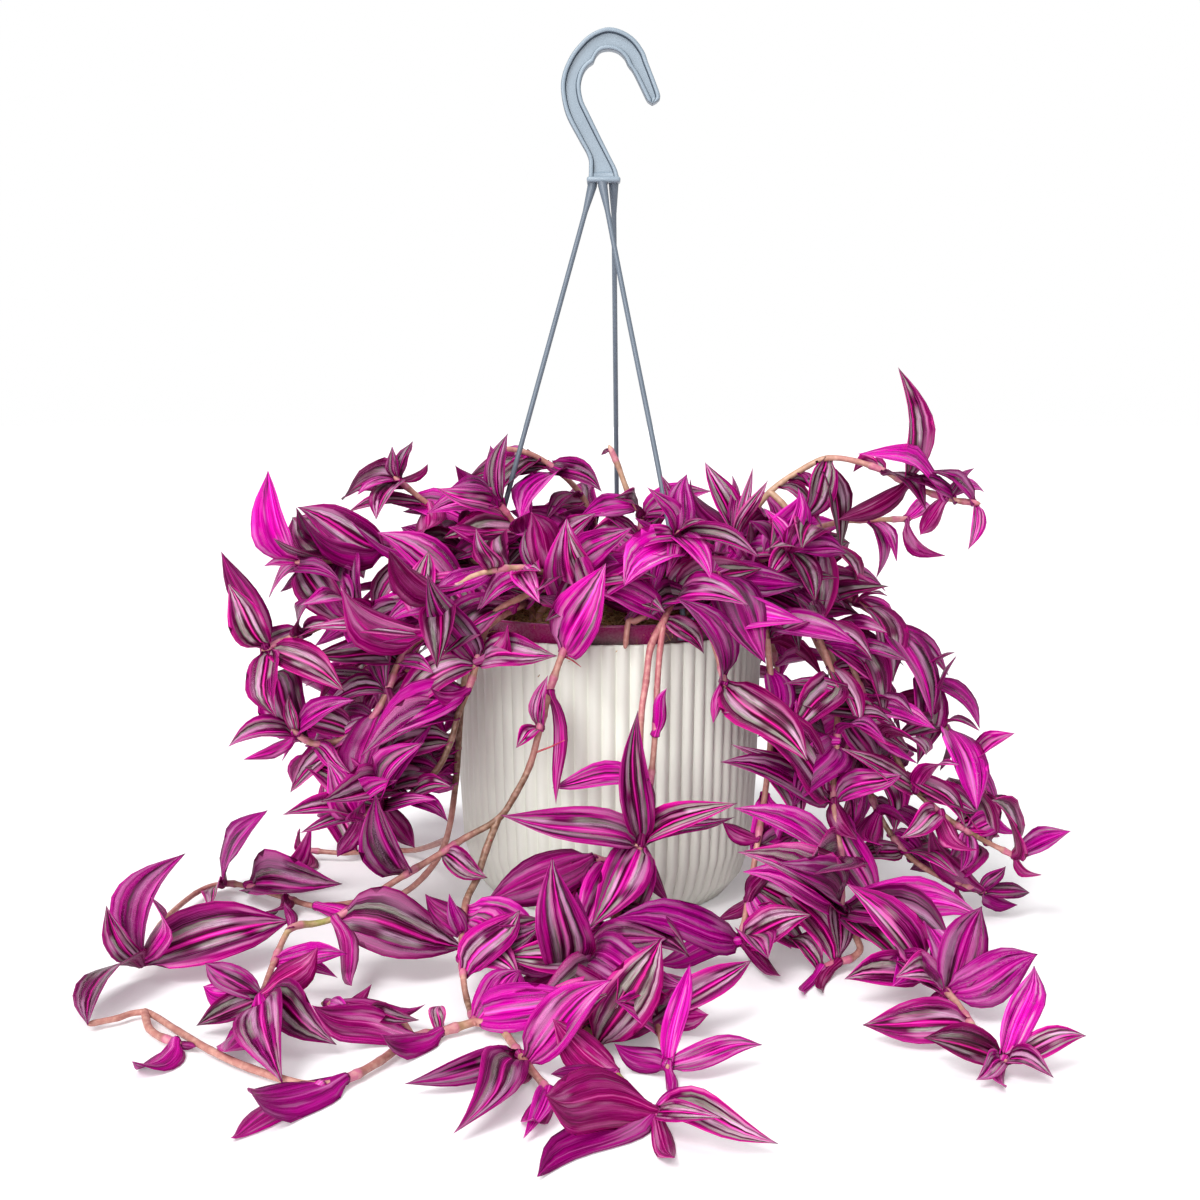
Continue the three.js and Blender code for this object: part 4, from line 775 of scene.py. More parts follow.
# -------------------- meshes
@dataclass
class Raw:
    """Vertices, faces and attributes of a mesh in the making, in millimetres."""

    vertices: list = field(default_factory=list)
    faces: list = field(default_factory=list)
    slots: list = field(default_factory=list)
    attributes: dict = field(default_factory=dict)

    def add(self, vertices: Iterable, faces: Iterable, slot: Iterable = (), **attributes: Iterable) -> None:
        """Adds a shape.

        Args:
            vertices: Its places.
            faces: Its faces, by the place of each corner in the shape.
            slot: The material slot of each face.
            attributes: Values for each vertex, by name.
        """
        first = len(self.vertices)
        self.vertices.extend(vertices)
        self.faces.extend([tuple(int(i) + first for i in face) for face in faces])
        self.slots.extend(slot)
        for name, values in attributes.items():
            self.attributes.setdefault(name, []).extend(values)

    def mesh(self, name: str, edges: Sequence = ()) -> Mesh:
        """A Blender mesh in metres, smooth all over.

        Args:
            name: The name of the mesh.
            edges: Loose edges, for a line that something is swept along.

        Returns:
            The mesh.
        """
        mesh = bpy.data.meshes.new(name)
        mesh.from_pydata(np.array(self.vertices) * MM, edges, self.faces)
        if self.slots:
            mesh.polygons.foreach_set("material_index", self.slots)
        for key, values in self.attributes.items():
            flat = np.array(values, dtype=np.float32)
            kind = "FLOAT_VECTOR" if flat.ndim == 2 else "FLOAT"
            mesh.attributes.new(key, kind, "POINT").data.foreach_set(
                "vector" if flat.ndim == 2 else "value", flat.ravel()
            )
        if self.faces:
            mesh.shade_smooth()
        mesh.update()
        return mesh


def link(name: str, data: bpy.types.ID, *materials: Material) -> Object:
    """Puts a mesh, a lamp or a camera in the scene as an object at the origin."""
    thing = bpy.data.objects.new(name, data)
    bpy.context.scene.collection.objects.link(thing)
    for material in materials:
        data.materials.append(material)
    return thing


def join(name: str, things: Sequence) -> Object:
    """Joins objects into the first one."""
    with bpy.context.temp_override(active_object=things[0], selected_editable_objects=list(things)):
        bpy.ops.object.join()
    things[0].name = name
    things[0].data.name = name
    return things[0]


def dress(piece: Object, slot: str, *nodes: str) -> Object:
    """Lets a piece stand for its solids, and reports it."""
    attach(piece, BODY)
    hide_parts(*nodes)
    LOG.info("%s: %d faces for %s", piece.name, len(piece.data.polygons), ", ".join(nodes))
    return piece


def revolve(profile: Sequence, columns: int, key: Optional[str] = None) -> Raw:
    """A closed shape turned about the axis.

    Args:
        profile: Radius, height and, for the attribute, a value at each point, from the foot up. Both ends lie
            on the axis.
        columns: How many lines of points go round.
        key: The name of the attribute.

    Returns:
        The shape.
    """
    raw = Raw()
    inner = profile[1:-1]
    angles = [2 * math.pi * i / columns for i in range(columns)]
    vertices = [(r * math.cos(a), r * math.sin(a), z) for r, z, *_ in inner for a in angles]
    faces = []
    for i in range(columns):
        n = (i + 1) % columns
        faces.append((len(vertices), n, i))
        for row in range(len(inner) - 1):
            k = row * columns
            faces.append((k + i, k + n, k + n + columns, k + i + columns))
        last = (len(inner) - 1) * columns
        faces.append((last + i, last + n, len(vertices) + 1))
    vertices += [(0, 0, profile[0][1]), (0, 0, profile[-1][1])]
    values = {key: [p[2] for p in inner for _ in angles] + [0.0, 0.0]} if key else {}
    raw.add(vertices, faces, **values)
    return raw


def rounded_box(low_corner: Row, high_corner: Row, turn: float = 0.0, bevel: float = 0.4) -> Mesh:
    """A box with rounded edges.

    Args:
        low_corner: Its lowest corner before it is turned.
        high_corner: Its highest corner before it is turned.
        turn: The angle that it is turned about the upright axis through the origin, in degrees.
        bevel: The radius of its edges.

    Returns:
        The mesh.
    """
    shape = bmesh.new()
    bmesh.ops.create_cube(shape, size=1.0)
    low_place, high_place = np.array(low_corner), np.array(high_corner)
    sine, cosine = math.sin(math.radians(turn)), math.cos(math.radians(turn))
    for vertex in shape.verts:
        x, y, z = (low_place + high_place) / 2 + np.array(vertex.co) * (high_place - low_place)
        vertex.co = (x * cosine - y * sine, x * sine + y * cosine, z)
    bmesh.ops.bevel(shape, geom=shape.edges[:], offset=bevel, segments=3, profile=0.5, affect="EDGES")
    bmesh.ops.scale(shape, vec=(MM, MM, MM), verts=shape.verts)
    mesh = bpy.data.meshes.new("box")
    shape.to_mesh(mesh)
    shape.free()
    mesh.shade_smooth()
    mesh.set_sharp_from_angle(angle=math.radians(40))
    return mesh


# -------------------- node trees
class Net:
    """The net of a tree's nodes: adds nodes and joins them."""

    def __init__(self, tree: NodeTree) -> None:
        """Takes the tree that the nodes go in."""
        self.tree = tree

    def node(self, kind: str, values: Optional[dict] = None, **settings: object) -> Node:
        """Adds a node.

        Args:
            kind: Its type.
            values: For each input, by number or name, a value or the socket that feeds it.
            settings: Its own settings.

        Returns:
            The node.
        """
        node = self.tree.nodes.new(kind)
        for key, value in settings.items():
            setattr(node, key, value)
        self.feed(node, values or {})
        return node

    def feed(self, node: Node, values: dict) -> None:
        """Gives inputs of a node their values, or the sockets that feed them."""
        for key, value in values.items():
            if isinstance(value, NodeSocket):
                self.tree.links.new(value, node.inputs[key])
            else:
                node.inputs[key].default_value = value

    def math(self, operation: str, a: object, b: object = 0.0, c: object = 0.0) -> NodeSocket:
        """The result of a sum on numbers."""
        return self.node("ShaderNodeMath", {0: a, 1: b, 2: c}, operation=operation).outputs[0]

    def mix(self, factor: object, a: object, b: object, blend: str = "MIX") -> NodeSocket:
        """A colour between two others."""
        node = self.node("ShaderNodeMix", {0: factor, 6: a, 7: b}, data_type="RGBA", blend_type=blend)
        return node.outputs[2]

    def span(self, value: object, start: float, end: float, least: float = 0, most: float = 1) -> NodeSocket:
        """A value moved from one range to another, smoothly, and held at its ends."""
        values = {0: value, 1: start, 2: end, 3: least, 4: most}
        return self.node("ShaderNodeMapRange", values, interpolation_type="SMOOTHSTEP").outputs[0]

    def vector(self, x: object, y: object, z: object) -> NodeSocket:
        """A vector of three numbers."""
        return self.node("ShaderNodeCombineXYZ", {0: x, 1: y, 2: z}).outputs[0]

    def noise(self, vector: object, scale: float, detail: float = 2.0) -> NodeSocket:
        """A soft random value at each place."""
        values = {"Vector": vector, "Scale": scale, "Detail": detail}
        return self.node("ShaderNodeTexNoise", values).outputs[0]


def colour(red: float, green: float, blue: float) -> tuple:
    """A colour of a screen, 0 to 255, as linear light with an alpha."""
    parts = [value / 255 for value in (red, green, blue)]
    return (*[p / 12.92 if p <= 0.04045 else ((p + 0.055) / 1.055) ** 2.4 for p in parts], 1.0)


def group(name: str, inputs: dict, outputs: dict) -> tuple:
    """Starts a shader node group.

    Args:
        name: Its name.
        inputs: The socket type and first value of each input, by name.
        outputs: The socket type of each output, by name.

    Returns:
        The net, the group's inputs and its output node.
    """
    tree = bpy.data.node_groups.new(name, "ShaderNodeTree")
    for key, (kind, value) in inputs.items():
        tree.interface.new_socket(key, in_out="INPUT", socket_type=kind).default_value = value
    for key, kind in outputs.items():
        tree.interface.new_socket(key, in_out="OUTPUT", socket_type=kind)
    net = Net(tree)
    return net, net.node("NodeGroupInput").outputs, net.node("NodeGroupOutput")


FLOAT, COLOUR, VECTOR = "NodeSocketFloat", "NodeSocketColor", "NodeSocketVector"
WHOLE, MATERIAL, GEOMETRY = "NodeSocketInt", "NodeSocketMaterial", "NodeSocketGeometry"


@cache
def mottle_group() -> NodeTree:
    """Soft patches of a second colour, with a fine grain for roughness and height."""
    net, given, result = group(
        "mottle",
        {
            "Place": (VECTOR, (0.0, 0.0, 0.0)),
            "Patch Scale": (FLOAT, 40.0),
            "Grain Scale": (FLOAT, 900.0),
            "Patches": (FLOAT, 0.5),
            "Colour": (COLOUR, (0.5, 0.5, 0.5, 1.0)),
            "Patch Colour": (COLOUR, (0.4, 0.4, 0.4, 1.0)),
        },
        {"Colour": COLOUR, "Grain": FLOAT},
    )
    patches = net.noise(given["Place"], given["Patch Scale"], 3.0)
    grain = net.noise(given["Place"], given["Grain Scale"], 2.0)
    mask = net.math("MULTIPLY", net.span(patches, 0.42, 0.68), given["Patches"])
    net.feed(result, {"Colour": net.mix(mask, given["Colour"], given["Patch Colour"]), "Grain": grain})
    return net.tree


SILVER_BANDS = ((0.36, 0.17, 3.1, 0.05, 0.65, 1.0), (0.68, 0.1, 9.7, 0.35, 0.95, 0.9))


@cache
def stripe_group() -> NodeTree:
    """The stripes of a blade: silver bands and hot streaks that come and go along it, and fine veins.

    Each silver band has its place and half its width across the half blade, the offset of its own noise, the
    span of the leaf's random value over which it appears, and its strength. Both faces use the group.
    """
    net, given, result = group(
        "stripes",
        {"Across": (FLOAT, 0.0), "Along": (FLOAT, 0.0), "Seed": (FLOAT, 0.0)},
        {"Place": FLOAT, "Silver": FLOAT, "Hot": FLOAT, "Fine": FLOAT, "Drift": FLOAT, "Leaf": COLOUR},
    )
    across, along, seed = given["Across"], given["Along"], given["Seed"]
    shift = net.math("MULTIPLY", seed, 37.0)

    def veined(stretch: float, run: float, detail: float, offset: float = 0.0) -> NodeSocket:
        """Noise drawn out along the blade, with so many waves across it and along it."""
        wide = net.math("MULTIPLY_ADD", across, stretch, offset)
        return net.noise(net.vector(wide, net.math("MULTIPLY", along, run), shift), 1.0, detail)

    half = net.math("ABSOLUTE", across)
    fine, grain, drift = veined(24.0, 2.2, 2.0), veined(64.0, 9.0, 1.0), veined(3.2, 1.7, 1.0)
    own_draws = net.node("ShaderNodeTexWhiteNoise", {"W": seed}, noise_dimensions="1D").outputs["Color"]
    first, second, third = net.node("ShaderNodeSeparateColor", {0: own_draws}).outputs
    waver = net.math("MULTIPLY_ADD", drift, 0.26, -0.13)
    jitter = net.math("MULTIPLY_ADD", fine, 0.12, -0.06)
    moved = net.math("MULTIPLY_ADD", first, 0.12, -0.06)
    offset = net.math("ADD", net.math("ADD", moved, waver), jitter)
    place = net.math("MULTIPLY_ADD", offset, net.span(half, 0.04, 0.28), half)
    bands = []
    for centre, reach, own, start, end, strength in SILVER_BANDS:
        off = net.math("ABSOLUTE", net.math("SUBTRACT", place, centre))
        line = net.span(off, reach * 0.4, reach, strength, 0.0)
        side = net.math("MULTIPLY_ADD", net.math("SIGN", across), 2.3, own)
        spot = net.vector(side, net.math("MULTIPLY", along, 2.7), shift)
        run = net.span(net.noise(spot, 1.0, 1.0), 0.32, 0.5)
        shows = net.span(second if own > 5 else third, start, end)
        bands.append(net.math("MULTIPLY", net.math("MULTIPLY", line, run), shows))
    silver = net.math("MULTIPLY", net.math("MAXIMUM", *bands), net.span(grain, 0.34, 0.6, 0.4))
    hot_leaf = net.math("MULTIPLY_ADD", third, -0.42, 0.22)
    hot = net.span(net.math("ADD", veined(5.0, 1.5, 2.0, 11.0), hot_leaf), 0.49, 0.68)
    values = {"Place": place, "Silver": silver, "Hot": hot, "Fine": fine, "Drift": drift, "Leaf": own_draws}
    net.feed(result, values)
    return net.tree


def ramp(net: Net, factor: object, stops: Sequence) -> NodeSocket:
    """A colour from a row of stops, each a place from 0 to 1 with red, green and blue.

    Args:
        net: The net that it goes in.
        factor: What picks the place in the row.
        stops: The stops.

    Returns:
        The colour.
    """
    node = net.node("ShaderNodeValToRGB", {0: factor})
    bar = node.color_ramp.elements
    while len(bar) < len(stops):
        bar.new(0.5)
    for element, (place, *tint) in zip(bar, stops):
        element.position = place
        element.color = colour(*tint)
    return node.outputs[0]


# -------------------- finishes
def new_material(name: str, **values: object) -> tuple:
    """A new material with its net and its shader, and the shader's constant values.

    Args:
        name: Its name.
        values: The shader's values, by name with underscores for spaces.

    Returns:
        The material, its net and its shader.
    """
    material = bpy.data.materials.new(name)
    material.use_nodes = True
    shader = material.node_tree.nodes["Principled BSDF"]
    for key, value in values.items():
        shader.inputs[key.replace("_", " ").title().replace("Ior", "IOR")].default_value = value
    return material, Net(material.node_tree), shader


class Finish:
    """A finish that is made into a material once, and shared."""

    made: dict = {}

    def material(self) -> Material:
        """The material, made at its first use."""
        if self not in Finish.made:
            Finish.made[self] = self.build()
        return Finish.made[self]

    def build(self) -> Material:
        """Makes the material."""
        raise NotImplementedError

    def finish(self, net: Net, shader: Node, base: object, height: object, depth: float) -> None:
        """Feeds the shader its colour, and its normal from a height in millimetres of depth."""
        bump = net.node("ShaderNodeBump", {"Height": height, "Strength": 0.6, "Distance": depth * MM})
        net.feed(shader, {"Base Color": base, "Normal": bump.outputs[0]})


@dataclass(frozen=True)
class PlasticFinish(Finish):
    """Moulded plastic with soft patches and a fine grain."""

    name: str
    tint: tuple
    patch: tuple
    patches: float = 0.5
    patch_scale: float = 40.0
    roughness: float = 0.42
    specular: float = 0.5
    # The lighter colour of a painted highlight along the top of the lip, and the height where it starts.
    lip: tuple = ()
    lip_highlight_height: float = 0.0
    depth: float = 0.03
    grain_scale: float = 900.0
    uneven: float = 0.07

    def build(self) -> Material:
        """Makes the material, with a painted highlight on the lip where the finish has one."""
        material, net, shader = new_material(self.name, specular_ior_level=self.specular)
        place = net.node("ShaderNodeTexCoord").outputs["Object"]
        values = {
            "Place": place,
            "Patch Scale": self.patch_scale,
            "Grain Scale": self.grain_scale,
            "Patches": self.patches,
            "Colour": colour(*self.tint),
            "Patch Colour": colour(*self.patch),
        }
        mottle = net.node("ShaderNodeGroup", values, node_tree=mottle_group())
        base = mottle.outputs["Colour"]
        # Painted highlight: the top of the lip is lighter, as where light falls on it.
        if self.lip:
            height = net.node("ShaderNodeSeparateXYZ", {0: place}).outputs[2]
            mask = net.span(height, self.lip_highlight_height * MM, (self.lip_highlight_height + 0.5) * MM)
            base = net.mix(mask, base, colour(*self.lip))
        grain = mottle.outputs["Grain"]
        rough = net.span(grain, 0.3, 0.7, self.roughness - self.uneven, self.roughness + self.uneven)
        net.feed(shader, {"Roughness": rough})
        self.finish(net, shader, base, grain, self.depth)
        return material


@dataclass(frozen=True)
class CoirFinish(Finish):
    """Coir: crumbs and fibres from dark brown to straw."""

    name: str
    stops: tuple
    scale: float = 700.0

    def build(self) -> Material:
        """Makes the material from a row of browns."""
        material, net, shader = new_material(self.name, roughness=0.9, specular_ior_level=0.2)
        place = net.node("ShaderNodeTexCoord").outputs["Object"]
        crumbs = net.noise(place, self.scale, 4.0)
        self.finish(net, shader, ramp(net, crumbs, self.stops), crumbs, 0.8)
        return material


@dataclass(frozen=True)
class StemFinish(Finish):
    """The skin of a fleshy stem: the tint of its length, with fine streaks and specks."""

    name: str = "stem_skin"

    def build(self) -> Material:
        """Makes the material over the tint that each length of stem carries."""
        material, net, shader = new_material(self.name, roughness=0.42, specular_ior_level=0.45)
        tint = net.node("ShaderNodeAttribute", attribute_name="tint").outputs["Vector"]
        place = net.node("ShaderNodeTexCoord").outputs["Object"]
        values = {
            "Place": place,
            "Patch Scale": 420.0,
            "Grain Scale": 1500.0,
            "Patches": 0.3,
            "Colour": tint,
            "Patch Colour": colour(236, 196, 176),
        }
        specks = net.node("ShaderNodeGroup", values, node_tree=mottle_group())
        dark = net.span(net.noise(place, 90.0, 3.0), 0.45, 0.75, 0.0, 0.3)
        base = net.mix(dark, specks.outputs["Colour"], colour(196, 74, 110), "MULTIPLY")
        self.finish(net, shader, base, specks.outputs["Grain"], 0.12)
        return material


@dataclass(frozen=True)
class BladeFinish(Finish):
    """One face of the leaves: a deep and a hot row of colours from midrib to margin, with silver bands.

    The hot row shows in streaks, the more the hotter the leaf, and the silver is between lavender and sage.
    Soft patches of milky pink are a painted sheen.
    """

    name: str
    deep: tuple
    hot: tuple
    margin: tuple
    silver: float = 0.88
    lavender: tuple = (222, 182, 214)
    sage: tuple = (164, 166, 152)
    vein_light: float = 0.24
    # How strong the painted sheen of milky pink patches is.
    painted_sheen: float = 0.36
    vein_dark: float = 0.5
    dimmest: float = 0.5
    brightest: float = 1.18
    roughness: float = 0.28
    specular: float = 0.07
    depth: float = 0.3

    def build(self) -> Material:
        """Makes the material over the place on the blade that each vertex carries."""
        material, net, shader = new_material(self.name, specular_ior_level=self.specular)
        mark = net.node("ShaderNodeAttribute", attribute_name="blade").outputs["Vector"]
        across, along, seed = net.node("ShaderNodeSeparateXYZ", {0: mark}).outputs
        values = {"Across": across, "Along": along, "Seed": seed}
        stripes = net.node("ShaderNodeGroup", values, node_tree=stripe_group()).outputs
        place, fine, drift = stripes["Place"], stripes["Fine"], stripes["Drift"]
        brightness, _, tilt = net.node("ShaderNodeSeparateColor", {0: stripes["Leaf"]}).outputs
        row = net.mix(stripes["Hot"], ramp(net, place, self.deep), ramp(net, place, self.hot))
        veins = net.span(fine, 0.46, 0.3, 0.0, self.vein_dark)
        row = net.mix(veins, row, colour(84, 28, 80), "MULTIPLY")
        metal = net.mix(net.span(drift, 0.4, 0.62), colour(*self.sage), colour(*self.lavender))
        row = net.mix(net.math("MULTIPLY", stripes["Silver"], self.silver), row, metal)
        veins = net.span(fine, 0.54, 0.7, 0.0, self.vein_light)
        row = net.mix(veins, row, colour(250, 92, 206), "SCREEN")
        # Painted sheen: soft patches of milky pink where the blade would catch a glossy highlight.
        row = net.mix(net.span(drift, 0.53, 0.68, 0.0, self.painted_sheen), row, colour(232, 156, 206))
        edge = net.span(net.math("ABSOLUTE", across), 0.93, 0.98)
        row = net.mix(edge, row, colour(*self.margin))
        values = {
            "Hue": net.math("MULTIPLY_ADD", tilt, 0.032, 0.488),
            "Value": net.span(brightness, 0.0, 1.0, self.dimmest, self.brightest),
            "Color": row,
        }
        tuned = net.node("ShaderNodeHueSaturation", values).outputs[0]
        rough = net.span(fine, 0.3, 0.7, self.roughness - 0.05, self.roughness + 0.1)
        net.feed(shader, {"Roughness": rough})
        self.finish(net, shader, tuned, fine, self.depth)
        return material


PLANTER_FINISH = PlasticFinish("planter_plastic", (238, 240, 229), (231, 232, 221), 0.6, 22.0, 0.42)
# The last two values give a painted highlight along the top of the lip.
NURSERY_FINISH = PlasticFinish(
    "nursery_pot_plastic", (146, 12, 92), (112, 112, 104), 1.0, 34.0, 0.28, 0.5, (226, 140, 188), 138.1
)
EVEN = {"patch_scale": 60.0, "grain_scale": 90.0, "uneven": 0.03}
HANGER_FINISH = PlasticFinish(
    "hanger_plastic", (136, 150, 162), (126, 140, 152), roughness=0.38, depth=0.004, **EVEN
)
# Painted shade: a dark plastic for the corners of the hook's pockets and its outer edges, where shade falls.
PAINTED_SHADE_FINISH = PlasticFinish("hanger_seams", (70, 80, 92), (62, 72, 84), roughness=0.4, **EVEN)
ROD_FINISH = PlasticFinish(
    "rod_plastic", (100, 110, 122), (90, 100, 112), roughness=0.36, depth=0.004, **EVEN
)
COIR_FINISH = CoirFinish(
    "coir", ((0.3, 96, 66, 42), (0.42, 158, 118, 76), (0.54, 206, 168, 114), (0.66, 234, 204, 152))
)
FIBRE_FINISH = CoirFinish(
    "coir_fibre", ((0.35, 160, 116, 72), (0.5, 204, 162, 108), (0.65, 232, 202, 152)), 260.0
)
STEM_FINISH = StemFinish()
UPPER_FINISH = BladeFinish(
    "leaf_upper_face",
    (
        (0.0, 236, 40, 178), (0.035, 196, 4, 138), (0.08, 78, 0, 46), (0.2, 50, 1, 32), (0.36, 98, 1, 68),
        (0.52, 48, 1, 30), (0.72, 106, 1, 78), (0.9, 164, 2, 118), (1.0, 228, 36, 168),
    ),
    (
        (0.0, 248, 84, 200), (0.05, 222, 2, 160), (0.14, 168, 0, 120), (0.3, 222, 2, 164),
        (0.46, 146, 0, 108), (0.64, 206, 0, 150), (0.82, 178, 0, 130), (1.0, 240, 52, 182),
    ),
    (228, 44, 170),
)  # fmt: skip
# On the underside the weak pink-lavender silver is a painted sheen, and the hot row is partly the leaf's own
# magenta and partly a painted glow of light through the blade.
UNDER_FINISH = BladeFinish(
    "leaf_underside",
    (
        (0.0, 222, 84, 176), (0.04, 152, 4, 104), (0.2, 122, 2, 84), (0.4, 156, 6, 112),
        (0.6, 112, 2, 78), (0.8, 146, 4, 104), (1.0, 190, 16, 136),
    ),
    (
        (0.0, 236, 96, 190), (0.05, 206, 2, 148), (0.25, 180, 0, 128), (0.45, 220, 4, 160),
        (0.65, 170, 0, 120), (0.85, 206, 4, 148), (1.0, 226, 40, 168),
    ),
    (214, 30, 156),
    silver=0.3,
    lavender=(214, 120, 190),
    sage=(176, 96, 150),
)  # fmt: skip


# -------------------- geometry nodes
def geometry_tree(name: str, inputs: dict) -> tuple:
    """Starts a geometry node tree that takes a geometry and a material, and gives a geometry.

    Args:
        name: Its name.
        inputs: The socket type of each further input, by name.

    Returns:
        The net, the tree's inputs and its output node.
    """
    tree = bpy.data.node_groups.new(name, "GeometryNodeTree")
    for key, kind in {"Geometry": GEOMETRY, **inputs, "Material": MATERIAL}.items():
        tree.interface.new_socket(key, in_out="INPUT", socket_type=kind)
    tree.interface.new_socket("Geometry", in_out="OUTPUT", socket_type=GEOMETRY)
    net = Net(tree)
    return net, net.node("NodeGroupInput").outputs, net.node("NodeGroupOutput")


def close_tree(net: Net, geometry: NodeSocket, material: NodeSocket, result: Node) -> NodeTree:
    """Ends a tree in real geometry that carries its material."""
    real = net.node("GeometryNodeRealizeInstances", {0: geometry}).outputs[0]
    painted = net.node("GeometryNodeSetMaterial", {"Geometry": real, "Material": material}).outputs[0]
    net.feed(result, {0: painted})
    return net.tree


def ring(net: Net, sides: object, radius: object) -> NodeSocket:
    """A round section to sweep."""
    return net.node("GeometryNodeCurvePrimitiveCircle", {"Resolution": sides, "Radius": radius}).outputs[0]


def named(net: Net, name: str) -> NodeSocket:
    """A number that each vertex carries."""
    return net.node("GeometryNodeInputNamedAttribute", {"Name": name}).outputs[0]


def sweep_tree() -> NodeTree:
    """Sweeps a round section along loose edges, as wide as their thickness attribute says."""
    net, given, result = geometry_tree("sweep", {"Sides": WHOLE})
    line = net.node("GeometryNodeMeshToCurve", {0: given["Geometry"]}).outputs[0]
    section = ring(net, given["Sides"], 1.0)
    values = {0: line, 1: section, "Scale": named(net, "thickness"), "Fill Caps": True}
    tube = net.node("GeometryNodeCurveToMesh", values).outputs[0]
    return close_tree(net, tube, given["Material"], result)


def rib_tree() -> NodeTree:
    """Draws the wall of a round pot in between rounded ribs, where its ribbed attribute says."""
    net, given, result = geometry_tree("ribs", {"Count": FLOAT, "Depth": FLOAT})
    place = net.node("GeometryNodeInputPosition").outputs[0]
    x, y, _ = net.node("ShaderNodeSeparateXYZ", {0: place}).outputs
    turns = net.math("DIVIDE", net.math("ARCTAN2", y, x), 2 * math.pi)
    share = net.math("FRACT", net.math("MULTIPLY_ADD", turns, given["Count"], 0.5))
    off = net.math("MULTIPLY_ADD", share, 2.0, -1.0)
    drop = net.math("MULTIPLY", net.math("MULTIPLY", off, off), given["Depth"])
    pull = net.math("MULTIPLY", drop, net.math("MULTIPLY", named(net, "ribbed"), -1.0))
    flat = net.vector(x, y, 0.0)
    out = net.node("ShaderNodeVectorMath", {0: flat}, operation="NORMALIZE").outputs[0]
    offset = net.node("ShaderNodeVectorMath", {0: out, "Scale": pull}, operation="SCALE").outputs[0]
    values = {"Geometry": given["Geometry"], "Offset": offset}
    moved = net.node("GeometryNodeSetPosition", values).outputs[0]
    return close_tree(net, moved, given["Material"], result)


def fibre_tree() -> NodeTree:
    """Scatters bent fibres over the top of a mound."""
    kinds = {"Density": FLOAT, "Length": FLOAT, "Radius": FLOAT, "Seed": WHOLE}
    net, given, result = geometry_tree("fibres", kinds)
    normal = net.node("GeometryNodeInputNormal").outputs[0]
    upward = net.math("GREATER_THAN", net.node("ShaderNodeSeparateXYZ", {0: normal}).outputs[2], 0.6)
    values = {"Mesh": given["Geometry"], "Selection": upward}
    values |= {key: given[key] for key in ("Density", "Seed")}
    points = net.node("GeometryNodeDistributePointsOnFaces", values)
    half, rise, drop = (net.math("MULTIPLY", given["Length"], share) for share in (0.5, 0.35, 0.1))
    values = {
        "Resolution": 4,
        "Start": (0.0, 0.0, 0.0),
        "Middle": net.vector(half, 0.0, rise),
        "End": net.vector(given["Length"], 0.0, drop),
    }
    bend = net.node("GeometryNodeCurveQuadraticBezier", values).outputs[0]
    values = {0: bend, 1: ring(net, 3, given["Radius"]), "Fill Caps": True}
    fibre = net.node("GeometryNodeCurveToMesh", values).outputs[0]
    values = {0: (-0.25, -0.5, 0.0), 1: (0.35, 0.3, 2 * math.pi), "Seed": given["Seed"]}
    turn = net.node("FunctionNodeRandomValue", values, data_type="FLOAT_VECTOR").outputs[0]
    size = net.node("FunctionNodeRandomValue", {2: 0.4, 3: 1.4, "Seed": given["Seed"]}).outputs[1]
    rotation = net.node("FunctionNodeEulerToRotation", {0: turn}).outputs[0]
    values = {"Points": points.outputs[0], "Instance": fibre, "Rotation": rotation, "Scale": size}
    spread = net.node("GeometryNodeInstanceOnPoints", values).outputs[0]
    return close_tree(net, spread, given["Material"], result)


def grown(thing: Object, tree: NodeTree, **values: object) -> Object:
    """Runs a geometry node tree over an object and keeps the result as its plain mesh.

    Args:
        thing: The object.
        tree: The tree.
        values: The tree's inputs, by name with underscores for spaces.

    Returns:
        The same object, with no modifier left.
    """
    modifier = thing.modifiers.new("grow", "NODES")
    modifier.node_group = tree
    sockets = {s.name: s.identifier for s in tree.interface.items_tree if s.in_out == "INPUT"}
    for key, value in values.items():
        modifier[sockets[key.replace("_", " ").title()]] = value
    evaluated = thing.evaluated_get(bpy.context.evaluated_depsgraph_get())
    mesh = bpy.data.meshes.new_from_object(evaluated)
    old = thing.data
    thing.modifiers.clear()
    thing.data = mesh
    bpy.data.meshes.remove(old)
    mesh.name = thing.name
    mesh.shade_smooth()
    return thing


class Sweeper:
    """Collects lines of points and sweeps a round section along them."""

    def __init__(self, sides: int) -> None:
        """Takes the number of sides of the section."""
        self.sides = sides
        self.raw = Raw()
        self.edges: list = []

    def line(self, points: Sequence, thickness: Sequence, tints: Sequence) -> None:
        """Adds a line with the radius and the tint at each point, in millimetres and linear light."""
        first = len(self.raw.vertices)
        self.raw.add(points, [], thickness=np.array(thickness) * MM, tint=tints)
        self.edges += [(first + i, first + i + 1) for i in range(len(points) - 1)]

    def piece(self, name: str, material: Material) -> Object:
        """Sweeps the lines into one object."""
        thing = link(name, self.raw.mesh(name, self.edges))
        return grown(thing, sweep_tree(), sides=self.sides, material=material)


